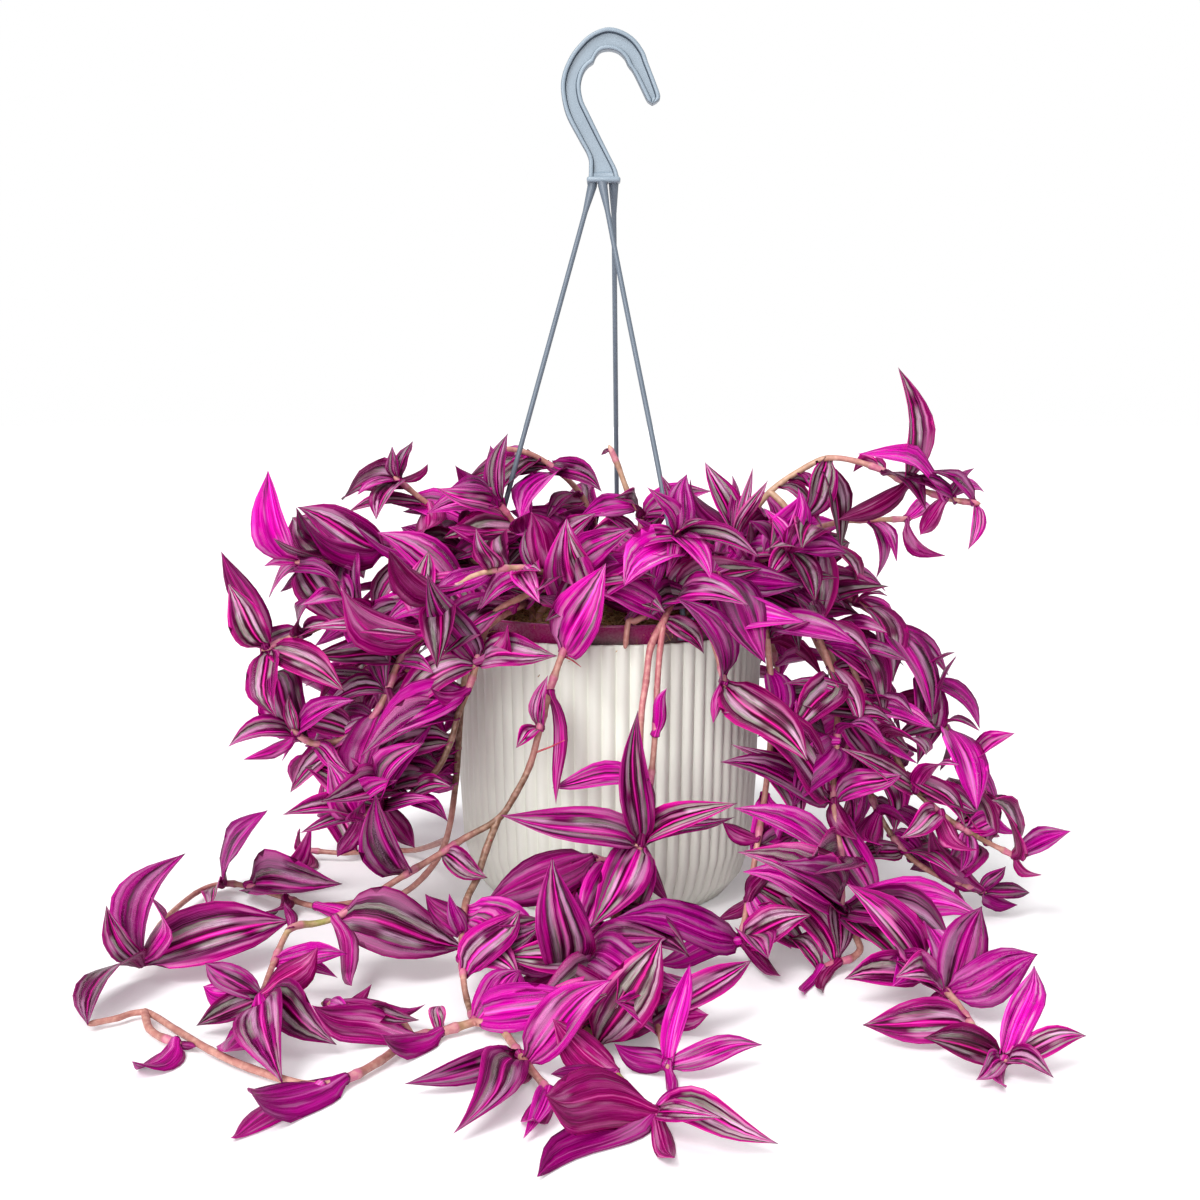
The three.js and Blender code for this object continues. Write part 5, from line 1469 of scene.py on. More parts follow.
# -------------------- pots and coir
@dataclass
class Planter:
    """The ribbed outer pot, open at the top, with a rounded foot and rim."""

    ribs: int = 72
    columns_per_rib: int = 8
    rib_depth: float = 1.75
    wall_profile: tuple = ((58.0, 0.0), (66.5, 10.0), (71.2, 25.0), (73.2, 58.0), (75.0, 130.0))
    inside: tuple = ((72.4, 129.3), (68.2, 27.0), (56.0, 5.0))

    def profile(self) -> list:
        """The section from the middle of the foot, up the wall, over the rim and down inside."""
        heights = [0.5, 1.5, 3, 5, 7.5, 10, 13, 16, 20, 25, 33, 45, 58, 82, 106, 124, 128.8, 129.6]
        radii = np.interp(heights, [z for _, z in self.wall_profile], [r for r, _ in self.wall_profile])
        wall = [(float(r), z, 1.0) for r, z in zip(radii, heights)]
        foot = [(0.0, 0.0, 0.0), (50.0, 0.0, 0.0), (57.6, 0.0, 1.0)]
        top = [(74.6, 130.0, 1.0), (73.4, 130.0, 0.3), (72.8, 129.9, 0.0)]
        return [*foot, *wall, *top, *[(r, z, 0.0) for r, z in self.inside], (0.0, 5.0, 0.0)]

    def build(self) -> None:
        """Makes the pot."""
        raw = revolve(self.profile(), self.ribs * self.columns_per_rib, "ribbed")
        piece = link("ribbed_pot", raw.mesh("ribbed_pot"))
        finish = PLANTER_FINISH.material()
        grown(piece, rib_tree(), count=float(self.ribs), depth=self.rib_depth * MM, material=finish)
        piece.data.set_sharp_from_angle(angle=math.radians(50))
        dress(piece, "planter_plastic", "planter")


@dataclass
class NurseryPot:
    """The plum pot of coir, whose lip stands proud of the outer pot."""

    columns: int = 160
    lip: float = 0.5

    def build(self) -> None:
        """Makes the pot with its rounded lip."""
        inner, rim, radius, wall = SIZES.inner_wall, SIZES.rim, SIZES.rim_radius, SIZES.wall
        outer_low = inner(128.0) + wall
        profile = [
            (0.0, SIZES.floor),
            (SIZES.base_radius - 1, SIZES.floor),
            (SIZES.base_radius, SIZES.floor + 1),
            (outer_low, 128.0),
            (radius - self.lip, rim - 1.6),
            (radius, rim - 1.1),
            (radius, rim - 0.35),
            (radius - 0.35, rim),
            (radius - wall + 0.35, rim),
            (radius - wall, rim - 0.35),
            (inner(134.0), 134.0),
            (inner(SIZES.floor + 3), SIZES.floor + 3),
            (inner(SIZES.floor) - 2, SIZES.floor + wall),
            (0.0, SIZES.floor + wall),
        ]
        mesh = revolve(profile, self.columns).mesh("nursery_pot")
        piece = link("nursery_pot", mesh, NURSERY_FINISH.material())
        piece.data.set_sharp_from_angle(angle=math.radians(50))
        dress(piece, "nursery_pot_plastic", "inner_pot")


@dataclass
class Coir:
    """The mound of coir, lumpy on top, with loose fibres."""

    columns: int = 120
    rings: int = 26
    lump: float = 0.9
    fibre_length: float = 9.0
    fibre_radius: float = 0.16
    density: float = 110000.0

    def mound(self) -> Raw:
        """The closed body of the coir."""
        edge = SIZES.inner_wall(SIZES.soil_edge) - 3 * SIZES.gap
        bottom = SIZES.floor + SIZES.wall + SIZES.gap
        radii = [edge * (1 - i / self.rings) for i in range(self.rings)]
        top = [(radius, SIZES.soil_top(radius)) for radius in radii]
        profile = [(0.0, bottom), (SIZES.inner_wall(bottom) - 1, bottom), *top, (0.0, SIZES.soil_top(0))]
        raw = revolve(profile, self.columns)
        for i, (x, y, z) in enumerate(raw.vertices):
            if z > SIZES.soil_edge - 1:
                height = noise.noise(Vector((x, y, 0)) * 0.22) + 0.5 * noise.noise(Vector((x, y, 7)) * 0.8)
                raw.vertices[i] = (x, y, z + self.lump * height)
        return raw

    def build(self) -> None:
        """Makes the mound and scatters its fibres."""
        raw = self.mound()
        body = link("coir_mound", raw.mesh("coir_mound"), COIR_FINISH.material())
        fibres = grown(
            link("coir_fibres", raw.mesh("coir_fibres")),
            fibre_tree(),
            density=self.density,
            length=self.fibre_length * MM,
            radius=self.fibre_radius * MM,
            seed=4,
            material=FIBRE_FINISH.material(),
        )
        dress(join("coir_bed", [body, fibres]), "coir", "soil")


# -------------------- hanger
@dataclass
class Hook:
    """The hook: a channel bar with raised rims on both faces, bent in a crook, on a small plate."""

    # The outer edge and the inner one in the picture, from the tip round the crook to the base.
    edges: tuple = (
        (653.6, 104.4, 651, 104.2), (657.4, 102, 647.6, 101.8), (660, 97, 645.4, 98),
        (655.2, 82.4, 638.4, 83.4), (651.4, 72.6, 632.9, 72.6), (647.8, 63.2, 628, 66),
        (643.8, 52.4, 624.6, 59.2), (634.4, 39.6, 618.6, 53.4), (622, 31.6, 612.6, 51),
        (609, 28.6, 607, 50.6), (597.6, 31.4, 600.6, 52.2), (588, 36.8, 596, 57), (579.6, 44.8, 593.2, 63.2),
        (572.4, 53.8, 589, 66.4), (566.6, 64.4, 585, 71), (562.7, 75, 582, 78), (561, 87.6, 580.7, 88),
        (562.8, 103, 583, 101.4), (567.6, 118.6, 588.6, 113.4), (578.8, 139.6, 600.4, 137.6),
        (588, 157, 610.6, 158), (589, 170, 616.6, 170), (588.4, 181.5, 619.6, 181.5),
    )  # fmt: skip
    steps: int = 6
    depth: float = 3.5
    web: float = 1.2
    rim: float = 2.05
    pocket_span: tuple = (0.085, 0.966)
    # The faces of half a section that lie in the corners of the pocket and on the outer edges, which take the
    # dark plastic of a painted shade.
    painted_shade_faces: tuple = (0, 5, 6, 8, 9, 14)
    plate_low: tuple = (-10.2, -4.5, 341.6)
    plate_high: tuple = (5.8, 4.5, 344.2)

    def section(self, half: float, pocket: bool) -> list:
        """The bar's section as places across and in depth, once round, with rounded rims.

        Args:
            half: Half of the bar's width.
            pocket: Whether it has its pockets here.
        """
        rim = min(self.rim, 0.7 * half)
        rounded = [(0.0, 0.85), (0.12, 0.4), (0.42, 0.1), (0.9, 0.0), (rim - 0.35, 0.08), (rim - 0.1, 0.35)]
        floor = self.depth - self.web if pocket else 0.35
        rounded += [(rim, 0.75 * floor), (rim + 0.35, floor)]
        front = [(-half + w, -self.depth + d) for w, d in rounded]
        front += [(-w, d) for w, d in reversed(front)]
        return front + [(w, -d) for w, d in reversed(front)]

    def bar(self) -> Raw:
        """The bent bar, closed at both ends."""
        rows = np.array(self.edges, float)
        spots = [[at(u, v, 0.0) for u, v in rows[:, k : k + 2]] for k in (0, 2)]
        rings = []
        count = (len(rows) - 1) * self.steps
        for i in range(count + 1):
            segment = min(i // self.steps, len(rows) - 2)
            outer, inner = (catmull(edge, segment, i / self.steps - segment, edge[0]) for edge in spots)
            middle, across = (outer + inner) / 2, unit(inner - outer)
            half = float(np.linalg.norm(inner - outer)) / 2
            section = self.section(half, self.pocket_span[0] < i / count < self.pocket_span[1])
            rings.append([middle + across * w + np.array([0.0, d, 0.0]) for w, d in section])
        size = len(rings[0])
        faces, slots = [], []
        for i in range(count):
            for j in range(size):
                n = (j + 1) % size
                faces.append((i * size + j, i * size + n, (i + 1) * size + n, (i + 1) * size + j))
                # Faces in the pocket corners and on the outer edges take the second slot, a painted shade.
                slots.append(int(j % (size // 2) in self.painted_shade_faces))
        last = len(rings) * size
        slots += [0] * (2 * size)
        faces += [((j + 1) % size, j, last) for j in range(size)]
        faces += [(last - size + j, last - size + (j + 1) % size, last + 1) for j in range(size)]
        raw = Raw()
        ends = [np.mean(rings[0], axis=0), np.mean(rings[-1], axis=0)]
        raw.add([p for row in rings for p in row] + ends, faces, slots)
        return raw

    def build(self) -> None:
        """Makes the bar with its plate."""
        finish = HANGER_FINISH.material()
        bar = link("hook_bar", self.bar().mesh("hook_bar"), finish, PAINTED_SHADE_FINISH.material())
        outward(bar.data)
        bar.data.set_sharp_from_angle(angle=math.radians(50))
        plate = link("hook_plate", rounded_box(self.plate_low, self.plate_high, 0.0, 1.1), finish)
        dress(join("hook_with_plate", [bar, plate]), "hanger_plastic", "hanger_hook")


def outward(mesh: Mesh) -> None:
    """Turns the faces of a closed mesh outwards."""
    shape = bmesh.new()
    shape.from_mesh(mesh)
    bmesh.ops.recalc_face_normals(shape, faces=shape.faces[:])
    shape.to_mesh(mesh)
    shape.free()


@dataclass
class Rod:
    """A rod of the hanger, flared at its top, with the clip that holds the rim at its foot."""

    name: str
    top: tuple
    azimuth: float
    bow: float
    flare: float = 2.4
    flare_low: float = 0.96
    flare_length: float = 18.0
    into_plate: float = 0.3

    def clip_boxes(self) -> list:
        """The bridge over the rim and the leg down each side of its wall."""
        inside, rim, radius = SIZES.rim_radius - SIZES.wall, SIZES.rim, SIZES.rim_radius
        foot = SIZES.planter_height + 1
        spans = [
            (inside - 3.2, radius + 2.2, rim + SIZES.gap, rim + 2.6),
            (inside - 3.2, inside - 1.65, rim - 3.6, rim + 1),
            (radius + SIZES.gap, radius + 2.2, foot, rim + 1),
        ]
        return [rounded_box((a, -4, low_z), (b, 4, high_z), self.azimuth) for a, b, low_z, high_z in spans]

    def build(self) -> None:
        """Makes the rod with its clip."""
        path = rod_path(self.top, self.azimuth, self.bow)
        points, _ = smooth(path, path[0], 4.0)
        points.insert(0, np.array([*self.top, SIZES.hook_base + self.into_plate]))
        taper = self.flare - (self.flare - self.flare_low) * run_along(points) / self.flare_length
        radii = np.maximum(SIZES.rod_radius, taper)
        finish = ROD_FINISH.material()
        sweeper = Sweeper(12)
        sweeper.line(points, radii, [(0.0, 0.0, 0.0)] * len(points))
        rod = sweeper.piece("rod", finish)
        clips = [link("clip", mesh, finish) for mesh in self.clip_boxes()]
        dress(join(self.name.replace("hanger_", ""), [rod, *clips]), "hanger_plastic", self.name)


# -------------------- foliage
TURNS = (0, 0.25, -0.25, 0.5, -0.5, 0.8, -0.8)
TURN_PAIRS = sorted(((a, b) for a in TURNS for b in TURNS), key=lambda p: p[0] ** 2 + 2.5 * p[1] ** 2)
SHRINKS = (1, 0.84, 0.68)
TIP_TOLERANCE = 0.05


def tip_choices(base: Array, tip: Array) -> Array:
    """Turned and shortened copies of a leaf's tip, in the order that its solid tried them.

    Args:
        base: The joint that the leaf grows from.
        tip: The tip as it was read.

    Returns:
        The tips, one a row.
    """
    chord = tip - base
    along = unit(chord)
    sight = unit(base - np.array(EYE.place))
    across = unit(np.cross(along, sight))
    size = float(np.linalg.norm(chord))
    turned = [unit(along + sight * a + across * b) for a, b in TURN_PAIRS]
    return np.array([base + direction * size * shrink for shrink in SHRINKS for direction in turned])


def facing(base: Array, side: Side, measured: bool) -> Array:
    """Which way a leaf's upper face looks: up, outwards and, where the picture shows it, to the front."""
    out = unit(np.array([base[0], base[1], 0.0]))
    front = 0.0 if measured else -0.5
    return unit(np.array([out[0] * 0.5, out[1] * 0.5 + front, 0.75])) * side.value


@dataclass
class BladeMaker:
    """Makes leaf blades: thin closed leaves, folded along the midrib, that clasp the stem at the base."""

    stations: tuple = (0.0, 0.03, 0.07, 0.13, 0.21, 0.31, 0.43, 0.55, 0.67, 0.78, 0.88, 0.95)
    columns: tuple = (-1.0, -0.68, -0.32, 0.0, 0.32, 0.68, 1.0)
    thickness: float = 0.45
    clasp_radius: float = 2.3
    clasp_turn: float = 1.9
    floor_gap: float = 0.3
    width_gain: float = 1.1
    least_shown: float = 0.58
    most_width: float = 0.52
    twist: float = 0.5
    fold: tuple = (0.08, 0.2)
    deep_fold: float = 0.28
    arch: tuple = (0.05, 0.16)
    sway: tuple = (0.06, 0.04)
    wave: tuple = (0.01, 0.05)
    waves: tuple = (1.2, 2.6)
    clasp_share: float = 0.14
    lowest: float = 0.1
    seed: int = 77

    def __post_init__(self) -> None:
        """Makes the faces, which all blades share."""
        self.faces, self.slots = self.make_faces()

    def draws(self, place: Array) -> Callable:
        """The random draws that belong to a place, whatever else is made before."""
        return np.random.default_rng([self.seed, *(int(abs(part) * 10) for part in place)]).uniform

    def make_faces(self) -> tuple:
        """The faces of a blade and the material slot of each, 0 above and 1 below."""
        wide, tall = len(self.columns), len(self.stations)
        upper = np.arange(wide * tall).reshape(tall, wide)
        lower = upper.copy()
        lower[1:, 1:-1] = wide * tall + np.arange((tall - 1) * (wide - 2)).reshape(tall - 1, wide - 2)
        tip = wide * tall + (tall - 1) * (wide - 2)
        faces, slots = [], []
        for slot, grid in enumerate((upper, lower)):
            for i in range(tall):
                for j in range(wide - 1):
                    if i + 1 < tall:
                        face = [grid[i][j], grid[i][j + 1], grid[i + 1][j + 1], grid[i + 1][j]]
                    else:
                        face = [grid[i][j], grid[i][j + 1], tip]
                    faces.append(face if slot == 0 else face[::-1])
                    slots.append(slot)
        return faces, slots

    def add(
        self, raw: Raw, base: Array, tip: Array, width: float, hint: Array, seen: bool
    ) -> None:
        """Adds a blade to a shape.

        Args:
            raw: The shape.
            base: The place on the stem that it grows from.
            tip: Its tip.
            width: Its greatest width.
            hint: The way its upper face looks.
            seen: Whether the width is as the picture shows it, narrowed by the way the blade is turned.
        """
        draw = self.draws(tip)
        size = float(np.linalg.norm(tip - base))
        along = unit(tip - base)
        side = unit(np.cross(along, hint))
        shown = abs(float(side @ unit(np.cross(base - np.array(EYE.place), along)))) if seen else 1.0
        width = min(width * self.width_gain / max(shown, self.least_shown), self.most_width * size)
        normal = np.cross(side, along)
        t = np.array(self.stations)[:, None]
        a = np.array(self.columns)[None, :]
        share = np.sin(np.pi * t**0.78) ** (0.62 + 0.5 * t * t)
        twist = draw(-self.twist, self.twist) * (t - 0.45)
        fold = draw(*self.fold) + self.deep_fold * draw(0, 1) ** 3
        arch = draw(*self.arch) * size * np.sin(np.pi * t ** draw(0.85, 1.3))
        bend, curl = (draw(-reach, reach) for reach in self.sway)
        sway = size * (bend * np.sin(np.pi * t) + curl * np.sin(2 * np.pi * t))
        wave = draw(*self.wave) * width * np.sin(2 * np.pi * (draw(*self.waves) * t + draw(0, 1)) + a) * a * a
        out = a * width / 2 * share * (1 - 0.25 * fold)
        rise = fold * width * share * np.abs(a) ** 1.25 + wave * share
        x, y = out * np.cos(twist) - rise * np.sin(twist), out * np.sin(twist) + rise * np.cos(twist)
        blade = (sway + x)[..., None] * side + (arch + y)[..., None] * normal
        turn = a * self.clasp_turn
        radius = self.clasp_radius + 0 * t
        clasp = (np.sin(turn) * radius)[..., None] * side + (-np.cos(turn) * radius)[..., None] * normal
        ease = np.clip(t / self.clasp_share, 0, 1)
        ease = (ease * ease * (3 - 2 * ease))[..., None]
        middle = base + (t * size)[..., None] * along
        sheet = middle + clasp * (1 - ease) + blade * ease
        sheet[..., 2] = np.maximum(sheet[..., 2], self.floor_gap + self.thickness / 2)
        off = normal * self.thickness / 2
        upper, lower = sheet + off, sheet - off
        upper[0], upper[:, 0], upper[:, -1] = sheet[0], sheet[:, 0], sheet[:, -1]
        seed = float(draw(0, 1))
        marks = np.stack([a + 0 * t, t + 0 * a, seed + 0 * (a + t)], axis=2)
        inner = (slice(1, None), slice(1, -1))
        vertices = np.concatenate([upper.reshape(-1, 3), lower[inner].reshape(-1, 3), tip[None]])
        vertices[:, 2] = np.maximum(vertices[:, 2], self.lowest)
        blades = np.concatenate([marks.reshape(-1, 3), marks[inner].reshape(-1, 3), [[0.0, 1.0, seed]]])
        raw.add(vertices, self.faces, self.slots, blade=blades)


@dataclass
class StemSkin:
    """How thick a stem is along its length, and its tint."""

    node_swell: float = 0.22
    node_length: float = 1.8
    bare_share: float = 0.45
    sheath_length: float = 6.5
    sheath_growth: float = 0.28
    end_length: float = 2.6
    step: float = 1.5

    def radius_and_tint(self, run: float, total: float, joints: Sequence, tone: Array) -> tuple:
        """The radius and the tint at a place along a stem.

        Args:
            run: The distance from the stem's start.
            total: The stem's length.
            joints: The distance of each joint from the start, and whether it has a leaf.
            tone: The stem's colour there.

        Returns:
            The radius in millimetres, and the tint.
        """
        radius = STEM_RADIUS * (0.94 - 0.24 * run / total)
        tint = tone.copy()
        for joint, leafy in joints:
            collar = joint - self.sheath_length * leafy
            share = 1.0 if leafy else self.bare_share
            swell = math.exp(-(((run - collar) / self.node_length) ** 2)) * share
            radius *= 1 + self.node_swell * swell
            tint = tint * (1 - 0.5 * swell) + np.array([0.26, 0.08, 0.08]) * 0.5 * swell
            if leafy and collar < run < joint + 0.5:
                radius += self.sheath_growth
                tint = tint * 0.45 + np.array(colour(214, 96, 156)[:3]) * 0.55
        if total - run < self.end_length:
            radius *= math.sqrt(max(0.08, 1 - (1 - (total - run) / self.end_length) ** 2))
        return radius, tint


@dataclass(frozen=True)
class Addition:
    """A leaf of the picture that no solid stands for, with its start, its tip and its width in the picture.

    It grows from the stem nearest to its start, and behind says how much farther from the eye its tip is.
    """

    start: tuple
    tip: tuple
    width: float
    behind: float = 0.0
    side: Side = Side.UPPER


ADDITIONS = (
    Addition((663, 613), (704, 654), 27, -5),
    Addition((980, 502), (926, 471), 24, 4),
    Addition((960, 500), (905, 478), 22, -4),
    Addition((655, 1112), (537, 1177), 56, 0, Side.UNDER),
    Addition((549, 1092), (523, 1139), 24),
    Addition((328, 1086), (230, 1138), 38, 0, Side.UNDER),
    Addition((385, 553), (297, 507), 38, -6),
    Addition((388, 548), (274, 541), 19, -16, Side.UNDER),
)


# The fine roots in the air: where each leaves its stem and where it ends, in the picture.
HAIRS = (
    ((571, 656), (581, 667)),
    ((569, 652), (578, 657)),
    ((560, 756), (565, 740)),
    ((497, 835), (490, 841)),
)


@dataclass
class Foliage:
    """The leafy stems of the whole plant."""

    blades: BladeMaker = field(default_factory=BladeMaker)
    skin: StemSkin = field(default_factory=StemSkin)
    unmatched: int = 0
    added: dict = field(default_factory=dict)
    hairs: dict = field(default_factory=dict)
    hair_reach: float = 2.0
    hair_bow: float = 0.8
    hair_radii: tuple = (0.5, 0.38, 0.15)
    depth_cost: float = 0.05
    lowest_tip: float = 2.0
    tries: int = 14
    fill_size: tuple = (26.0, 50.0)
    fill_width: tuple = (0.36, 0.46)
    fill_chance: float = 0.52
    hidden_chance: float = 0.6
    forward: float = 0.35
    clear_shares: tuple = (0.35, 0.6, 0.8, 1.0)
    floor_room: float = 4.0
    pot_room: float = 6.0
    # Boxes of the picture that no added leaf covers.
    bare: tuple = ((488, 655, 728, 800), (575, 607, 645, 645), (754, 640, 838, 690))
    far_side: float = 40.0
    masses: tuple = (
        (385, 575, 125, 105), (350, 700, 90, 70), (355, 765, 75, 60), (500, 540, 120, 75),
        (600, 560, 130, 72), (740, 545, 110, 75), (820, 610, 90, 80), (860, 700, 95, 100),
        (900, 790, 110, 90), (800, 860, 75, 120), (600, 960, 110, 70), (870, 940, 80, 50),
    )  # fmt: skip
    # Boxes of the picture in which stems have another colour than pink.
    stretches: tuple = (
        (430, 640, 480, 700, Tone.TAN), (400, 700, 470, 800, Tone.BROWN), (465, 745, 530, 1020, Tone.BROWN),
        (300, 990, 350, 1015, Tone.GREEN), (500, 1015, 585, 1035, Tone.GREEN),
        (590, 1030, 660, 1110, Tone.GREEN), (282, 912, 336, 934, Tone.GREEN),
        (420, 1025, 462, 1042, Tone.GREEN), (440, 560, 560, 600, Tone.TAN), (740, 450, 830, 520, Tone.TAN),
        (840, 500, 940, 530, Tone.TAN), (800, 600, 860, 700, Tone.PINK), (600, 440, 640, 510, Tone.TAN),
        (640, 600, 680, 720, Tone.RED), (860, 690, 990, 860, Tone.BROWN), (400, 860, 500, 900, Tone.PINK),
        (960, 1010, 1000, 1050, Tone.TAN),
    )  # fmt: skip

    def corners(self, node: str) -> Array:
        """The corners of a solid, in millimetres."""
        mesh = frame["nodes"][node].data
        places = np.zeros(len(mesh.vertices) * 3)
        mesh.vertices.foreach_get("co", places)
        return places.reshape(-1, 3) / MM

    def leaf_tip(self, row: LeafRow, joint: Array, corners: Array) -> Array:
        """The tip that a leaf's solid ended with.

        Args:
            row: The leaf.
            joint: The place that it grows from.
            corners: The corners of the plant's solid.

        Returns:
            The tip.
        """
        choices = tip_choices(joint, row.tip)
        distance = np.linalg.norm(choices[:, None] - corners[None, :], axis=2).min(axis=1)
        found = np.flatnonzero(distance < TIP_TOLERANCE)
        if len(found):
            return choices[found[0]]
        self.unmatched += 1
        return choices[0]

    def tone_at(self, place: Array) -> Tone:
        """The colour of a stem where it passes a place."""
        u, v = EYE.pixel(place)
        boxes = [tone for u0, v0, u1, v1, tone in self.stretches if u0 < u < u1 and v0 < v < v1]
        return boxes[0] if boxes and place[1] < self.far_side else Tone.PINK

    def stem_line(self, sweeper: Sweeper, entry: Stem) -> None:
        """Adds a stem's line to what is swept.

        Args:
            sweeper: What sweeps it.
            entry: The stem.
        """
        last = entry.samples[-1]
        end = last + unit(last - entry.samples[-2]) * self.skin.end_length
        points, sample_point = smooth([*entry.samples, end], entry.samples[0], self.skin.step)
        run = run_along(points)
        leafy = {row.point for row in entry.leaves}
        joints = [(run[sample_point[s]], point in leafy) for point, s in enumerate(entry.joint_sample)]
        bases = np.array([colour(*self.tone_at(place).value)[:3] for place in points])
        soft = [bases[max(0, i - 3) : i + 4].mean(axis=0) for i in range(len(bases))]
        total = float(run[-1])
        skins = [self.skin.radius_and_tint(float(r), total, joints, base) for r, base in zip(run, soft)]
        sweeper.line(points, [r for r, _ in skins], [tuple(t) for _, t in skins])

    def fill(self, raw: Raw, entry: Stem, hidden: bool) -> None:
        """Adds the leaves that make a stem as dense as the plant is.

        Args:
            raw: The shape that takes them.
            entry: The stem.
            hidden: Whether it is on the side that the picture doesn't show.
        """
        for index in range(entry.held + 1, len(entry.samples)):
            draw = self.blades.draws(entry.samples[index])
            if draw(0, 1) > (self.hidden_chance if hidden else self.fill_chance):
                continue
            base = entry.samples[index]
            grow = unit(base - entry.samples[index - 1])
            for _ in range(self.tries):
                size = draw(*self.fill_size)
                out = unit(np.array([base[0], base[1], 0.0]))
                behind = 0.0 if hidden else self.forward
                drift = np.array([draw(-1, 1), draw(-1, 1) + behind, draw(-1.0, 0.4)])
                tip = base + unit(unit(drift) + 0.5 * grow + 0.35 * out) * size
                if self.clear(base, tip) and (hidden or self.in_mass(base, tip)):
                    width = size * draw(*self.fill_width)
                    self.blades.add(raw, base, tip, width, facing(base, Side.UPPER, hidden), False)
                    break

    def clear(self, base: Array, tip: Array) -> bool:
        """Whether a blade stays out of the pots and the coir, and off the floor."""
        for share in self.clear_shares:
            x, y, z = base + (tip - base) * share
            over_pot = math.hypot(x, y) < SIZES.planter_rim_radius + self.pot_room
            if z < self.floor_room or (over_pot and z < SIZES.rim + self.pot_room):
                return False
        return True

    def in_mass(self, base: Array, tip: Array) -> bool:
        """Whether a blade falls inside the masses of leaves in the picture, and off the bare pot.

        Args:
            base: Where it grows from.
            tip: Its tip.

        Returns:
            Whether its middle and its tip do.
        """
        for place in (base + (tip - base) * 0.5, tip):
            u, v = EYE.pixel(place)
            if any(u0 < u < u1 and v0 < v < v1 for u0, v0, u1, v1 in self.bare):
                return False
            if not any(((u - cu) / ru) ** 2 + ((v - cv) / rv) ** 2 < 1 for cu, cv, ru, rv in self.masses):
                return False
        return True

    def build_vine(self, vine: Vine) -> None:
        """Makes one plant as one piece.

        Args:
            vine: The plant.
        """
        hidden = vine.name.startswith("vine_back")
        corners = self.corners(vine.name)
        raw, sweeper = Raw(), Sweeper(8)
        for entry in vine.stems:
            self.stem_line(sweeper, entry)
            for row in entry.leaves:
                joint = entry.samples[entry.joint_sample[row.point]]
                tip = self.leaf_tip(row, joint, corners)
                scale = 1.0 if row.measured else EYE.size_of_pixel(joint)
                hint = facing(joint, row.side, row.measured)
                self.blades.add(raw, joint, tip, row.width * scale, hint, not row.measured)
            self.fill(raw, entry, hidden)
        for base, extra in self.added.get(vine.name, ()):
            tip = at(*extra.tip, base[1] + extra.behind)
            if tip[2] < self.lowest_tip:
                tip = low(*extra.tip, self.lowest_tip)
            width = extra.width * EYE.size_of_pixel(base)
            self.blades.add(raw, base, tip, width, facing(base, extra.side, False), True)
        leaves = link("blades", raw.mesh("blades"), UPPER_FINISH.material(), UNDER_FINISH.material())
        self.rootlets(sweeper, vine.name)
        stems = sweeper.piece("stems", STEM_FINISH.material())
        dress(join(vine.name.replace("vine", "leafy"), [leaves, stems]), "foliage", vine.name)

    def rootlets(self, sweeper: Sweeper, name: str) -> None:
        """Adds the fine red roots that grow in the air from the joints of a plant."""
        for base, (_, tip) in self.hairs.get(name, ()):
            end = at(*tip, base[1] - self.hair_reach)
            bend = (base + end) / 2 + np.array([self.hair_bow, 0.0, 0.0])
            sweeper.line([base, bend, end], self.hair_radii, [colour(*Tone.ROOT.value)[:3]] * 3)

    def place_additions(self, vines: Sequence) -> None:
        """Finds the stem that each added leaf or root grows from: the nearest one in the picture.

        Args:
            vines: Every plant.
        """
        stems = [(vine.name, entry) for vine in vines for entry in vine.stems]
        spots = [(name, place) for name, entry in stems for place in entry.samples[entry.held :]]
        pixels = np.array([EYE.pixel(place) for _, place in spots])
        depths = np.array([place[1] for _, place in spots])
        starts = [(extra.start, extra, self.added) for extra in ADDITIONS]
        starts += [(hair[0], hair, self.hairs) for hair in HAIRS]
        for start, entry, store in starts:
            away = np.hypot(*(pixels - np.array(start)).T) + self.depth_cost * depths
            name, place = spots[int(np.argmin(away))]
            store.setdefault(name, []).append((place, entry))

    def build(self) -> None:
        """Makes every plant."""
        vines = all_vines()
        StemLayout(vines)
        self.place_additions(vines)
        for vine in vines:
            self.build_vine(vine)
        LOG.info("leaves whose solid tip is hidden: %d", self.unmatched)


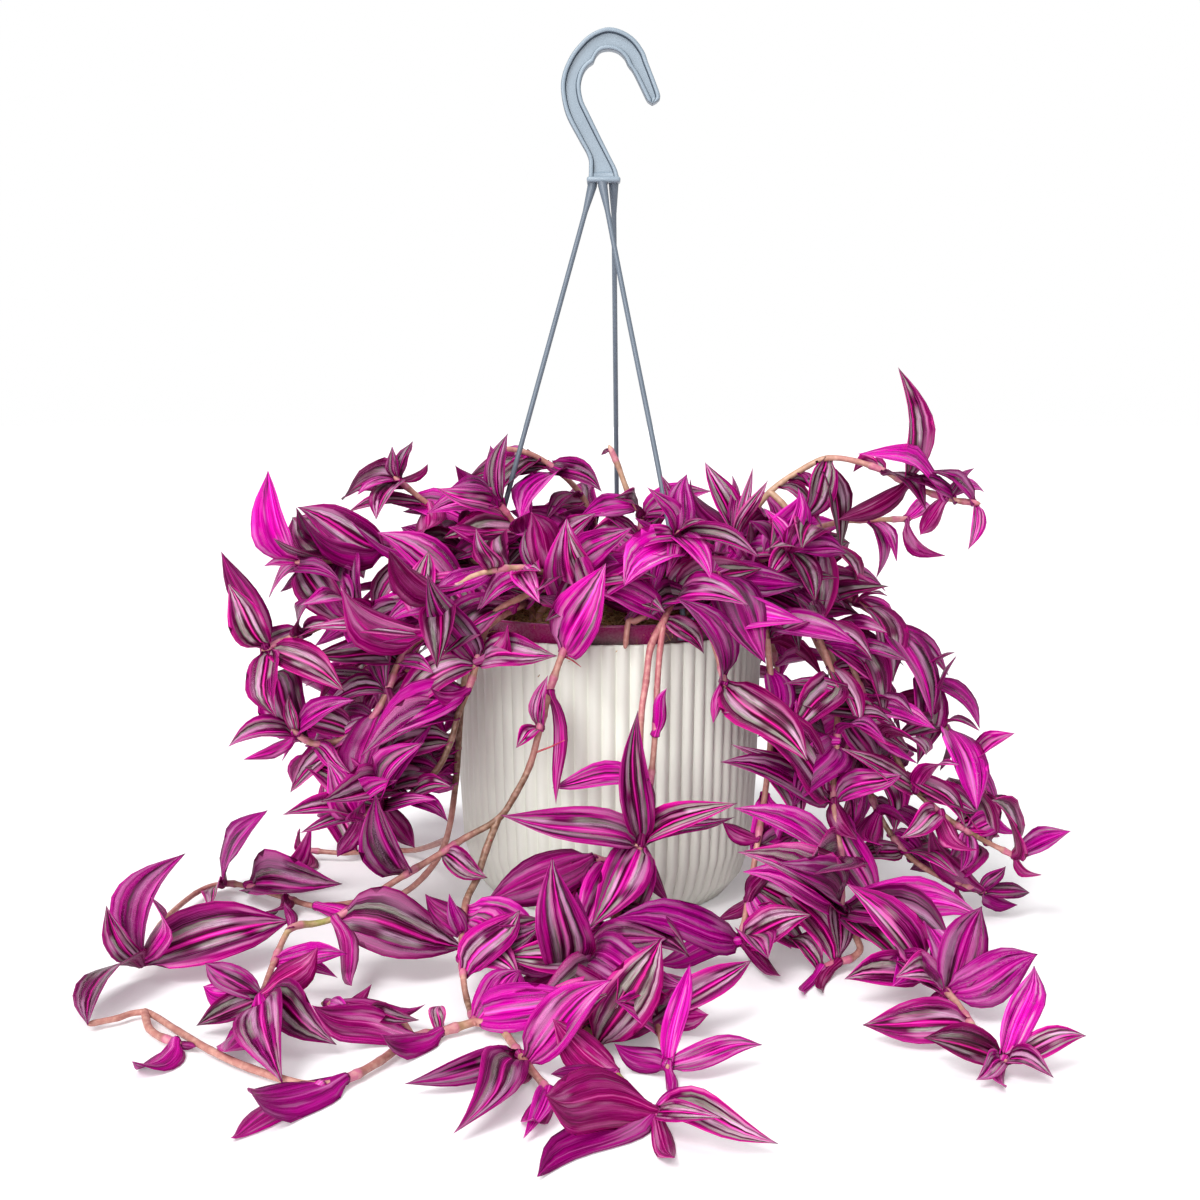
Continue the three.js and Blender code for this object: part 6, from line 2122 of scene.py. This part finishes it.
# -------------------- studio
@dataclass
class Studio:
    """A pale floor, soft studio light and the camera."""

    floor_size: float = 200.0
    lens: float = 47.25
    sensor: float = 36.0
    sky: float = 0.31
    lights: tuple = (
        ("key", (-0.7, -1.1, 1.5), 26.0, 2.12),
        ("front", (-0.4, -1.5, 0.45), 40.0, 1.78),
        ("left", (-1.1, -1.2, 0.12), 30.0, 0.65),
        ("top", (0.35, 0.1, 1.5), 60.0, 0.9),
    )
    floor_colour: tuple = (0.9, 0.89, 0.9, 1.0)
    floor_lift: float = 0.2

    def build(self) -> None:
        """Makes the floor, the lights, the sky and the camera."""
        scene = bpy.context.scene
        scene.view_settings.view_transform = "Standard"
        self.make_floor()
        for name, place, angle, power in self.lights:
            lamp = bpy.data.lights.new(name, "SUN")
            lamp.angle = math.radians(angle)
            lamp.energy = power
            thing = link(name, lamp)
            thing.location = place
            thing.rotation_euler = (-Vector(place)).to_track_quat("-Z", "Y").to_euler()
        scene.world = self.make_sky()
        eye = bpy.data.cameras.new("camera")
        eye.lens = self.lens
        eye.sensor_width = self.sensor
        scene.camera = link("camera", eye)
        scene.camera.location = np.array(EYE.place) * MM
        scene.camera.rotation_euler = (math.pi / 2 - EYE.pitch, 0.0, 0.0)

    def make_sky(self) -> World:
        """A white sky that lights the plant more softly than it shows."""
        world = bpy.data.worlds.new("sky")
        world.use_nodes = True
        net = Net(world.node_tree)
        seen = net.node("ShaderNodeLightPath").outputs["Is Camera Ray"]
        strength = net.math("MULTIPLY_ADD", seen, 1.0 - self.sky, self.sky)
        white = (1.0, 1.0, 1.0, 1.0)
        net.feed(world.node_tree.nodes["Background"], {"Color": white, "Strength": strength})
        return world

    def make_floor(self) -> None:
        """Makes the floor, whose shadows the eye sees a little lighter than they are."""
        half = self.floor_size / 2 / MM
        raw = Raw()
        raw.add([(-half, -half, 0), (half, -half, 0), (half, half, 0), (-half, half, 0)], [(0, 1, 2, 3)])
        values = {"roughness": 0.7, "specular_ior_level": 0.2, "emission_strength": self.floor_lift}
        material, net, shader = new_material("pale_floor", base_color=self.floor_colour, **values)
        net.feed(shader, {"Emission Color": net.node("ShaderNodeLightPath").outputs["Is Camera Ray"]})
        link("floor", raw.mesh("floor"), material)


def main() -> None:
    """Builds the studio, the pots, the hanger and the foliage."""
    logging.basicConfig(level=logging.INFO, format="%(name)s: %(message)s")
    Studio().build()
    Planter().build()
    NurseryPot().build()
    Coir().build()
    Hook().build()
    for name, (top, azimuth, bow) in RODS.items():
        Rod(name, top, azimuth, bow).build()
    Foliage().build()


if __name__ == "__main__":
    main()
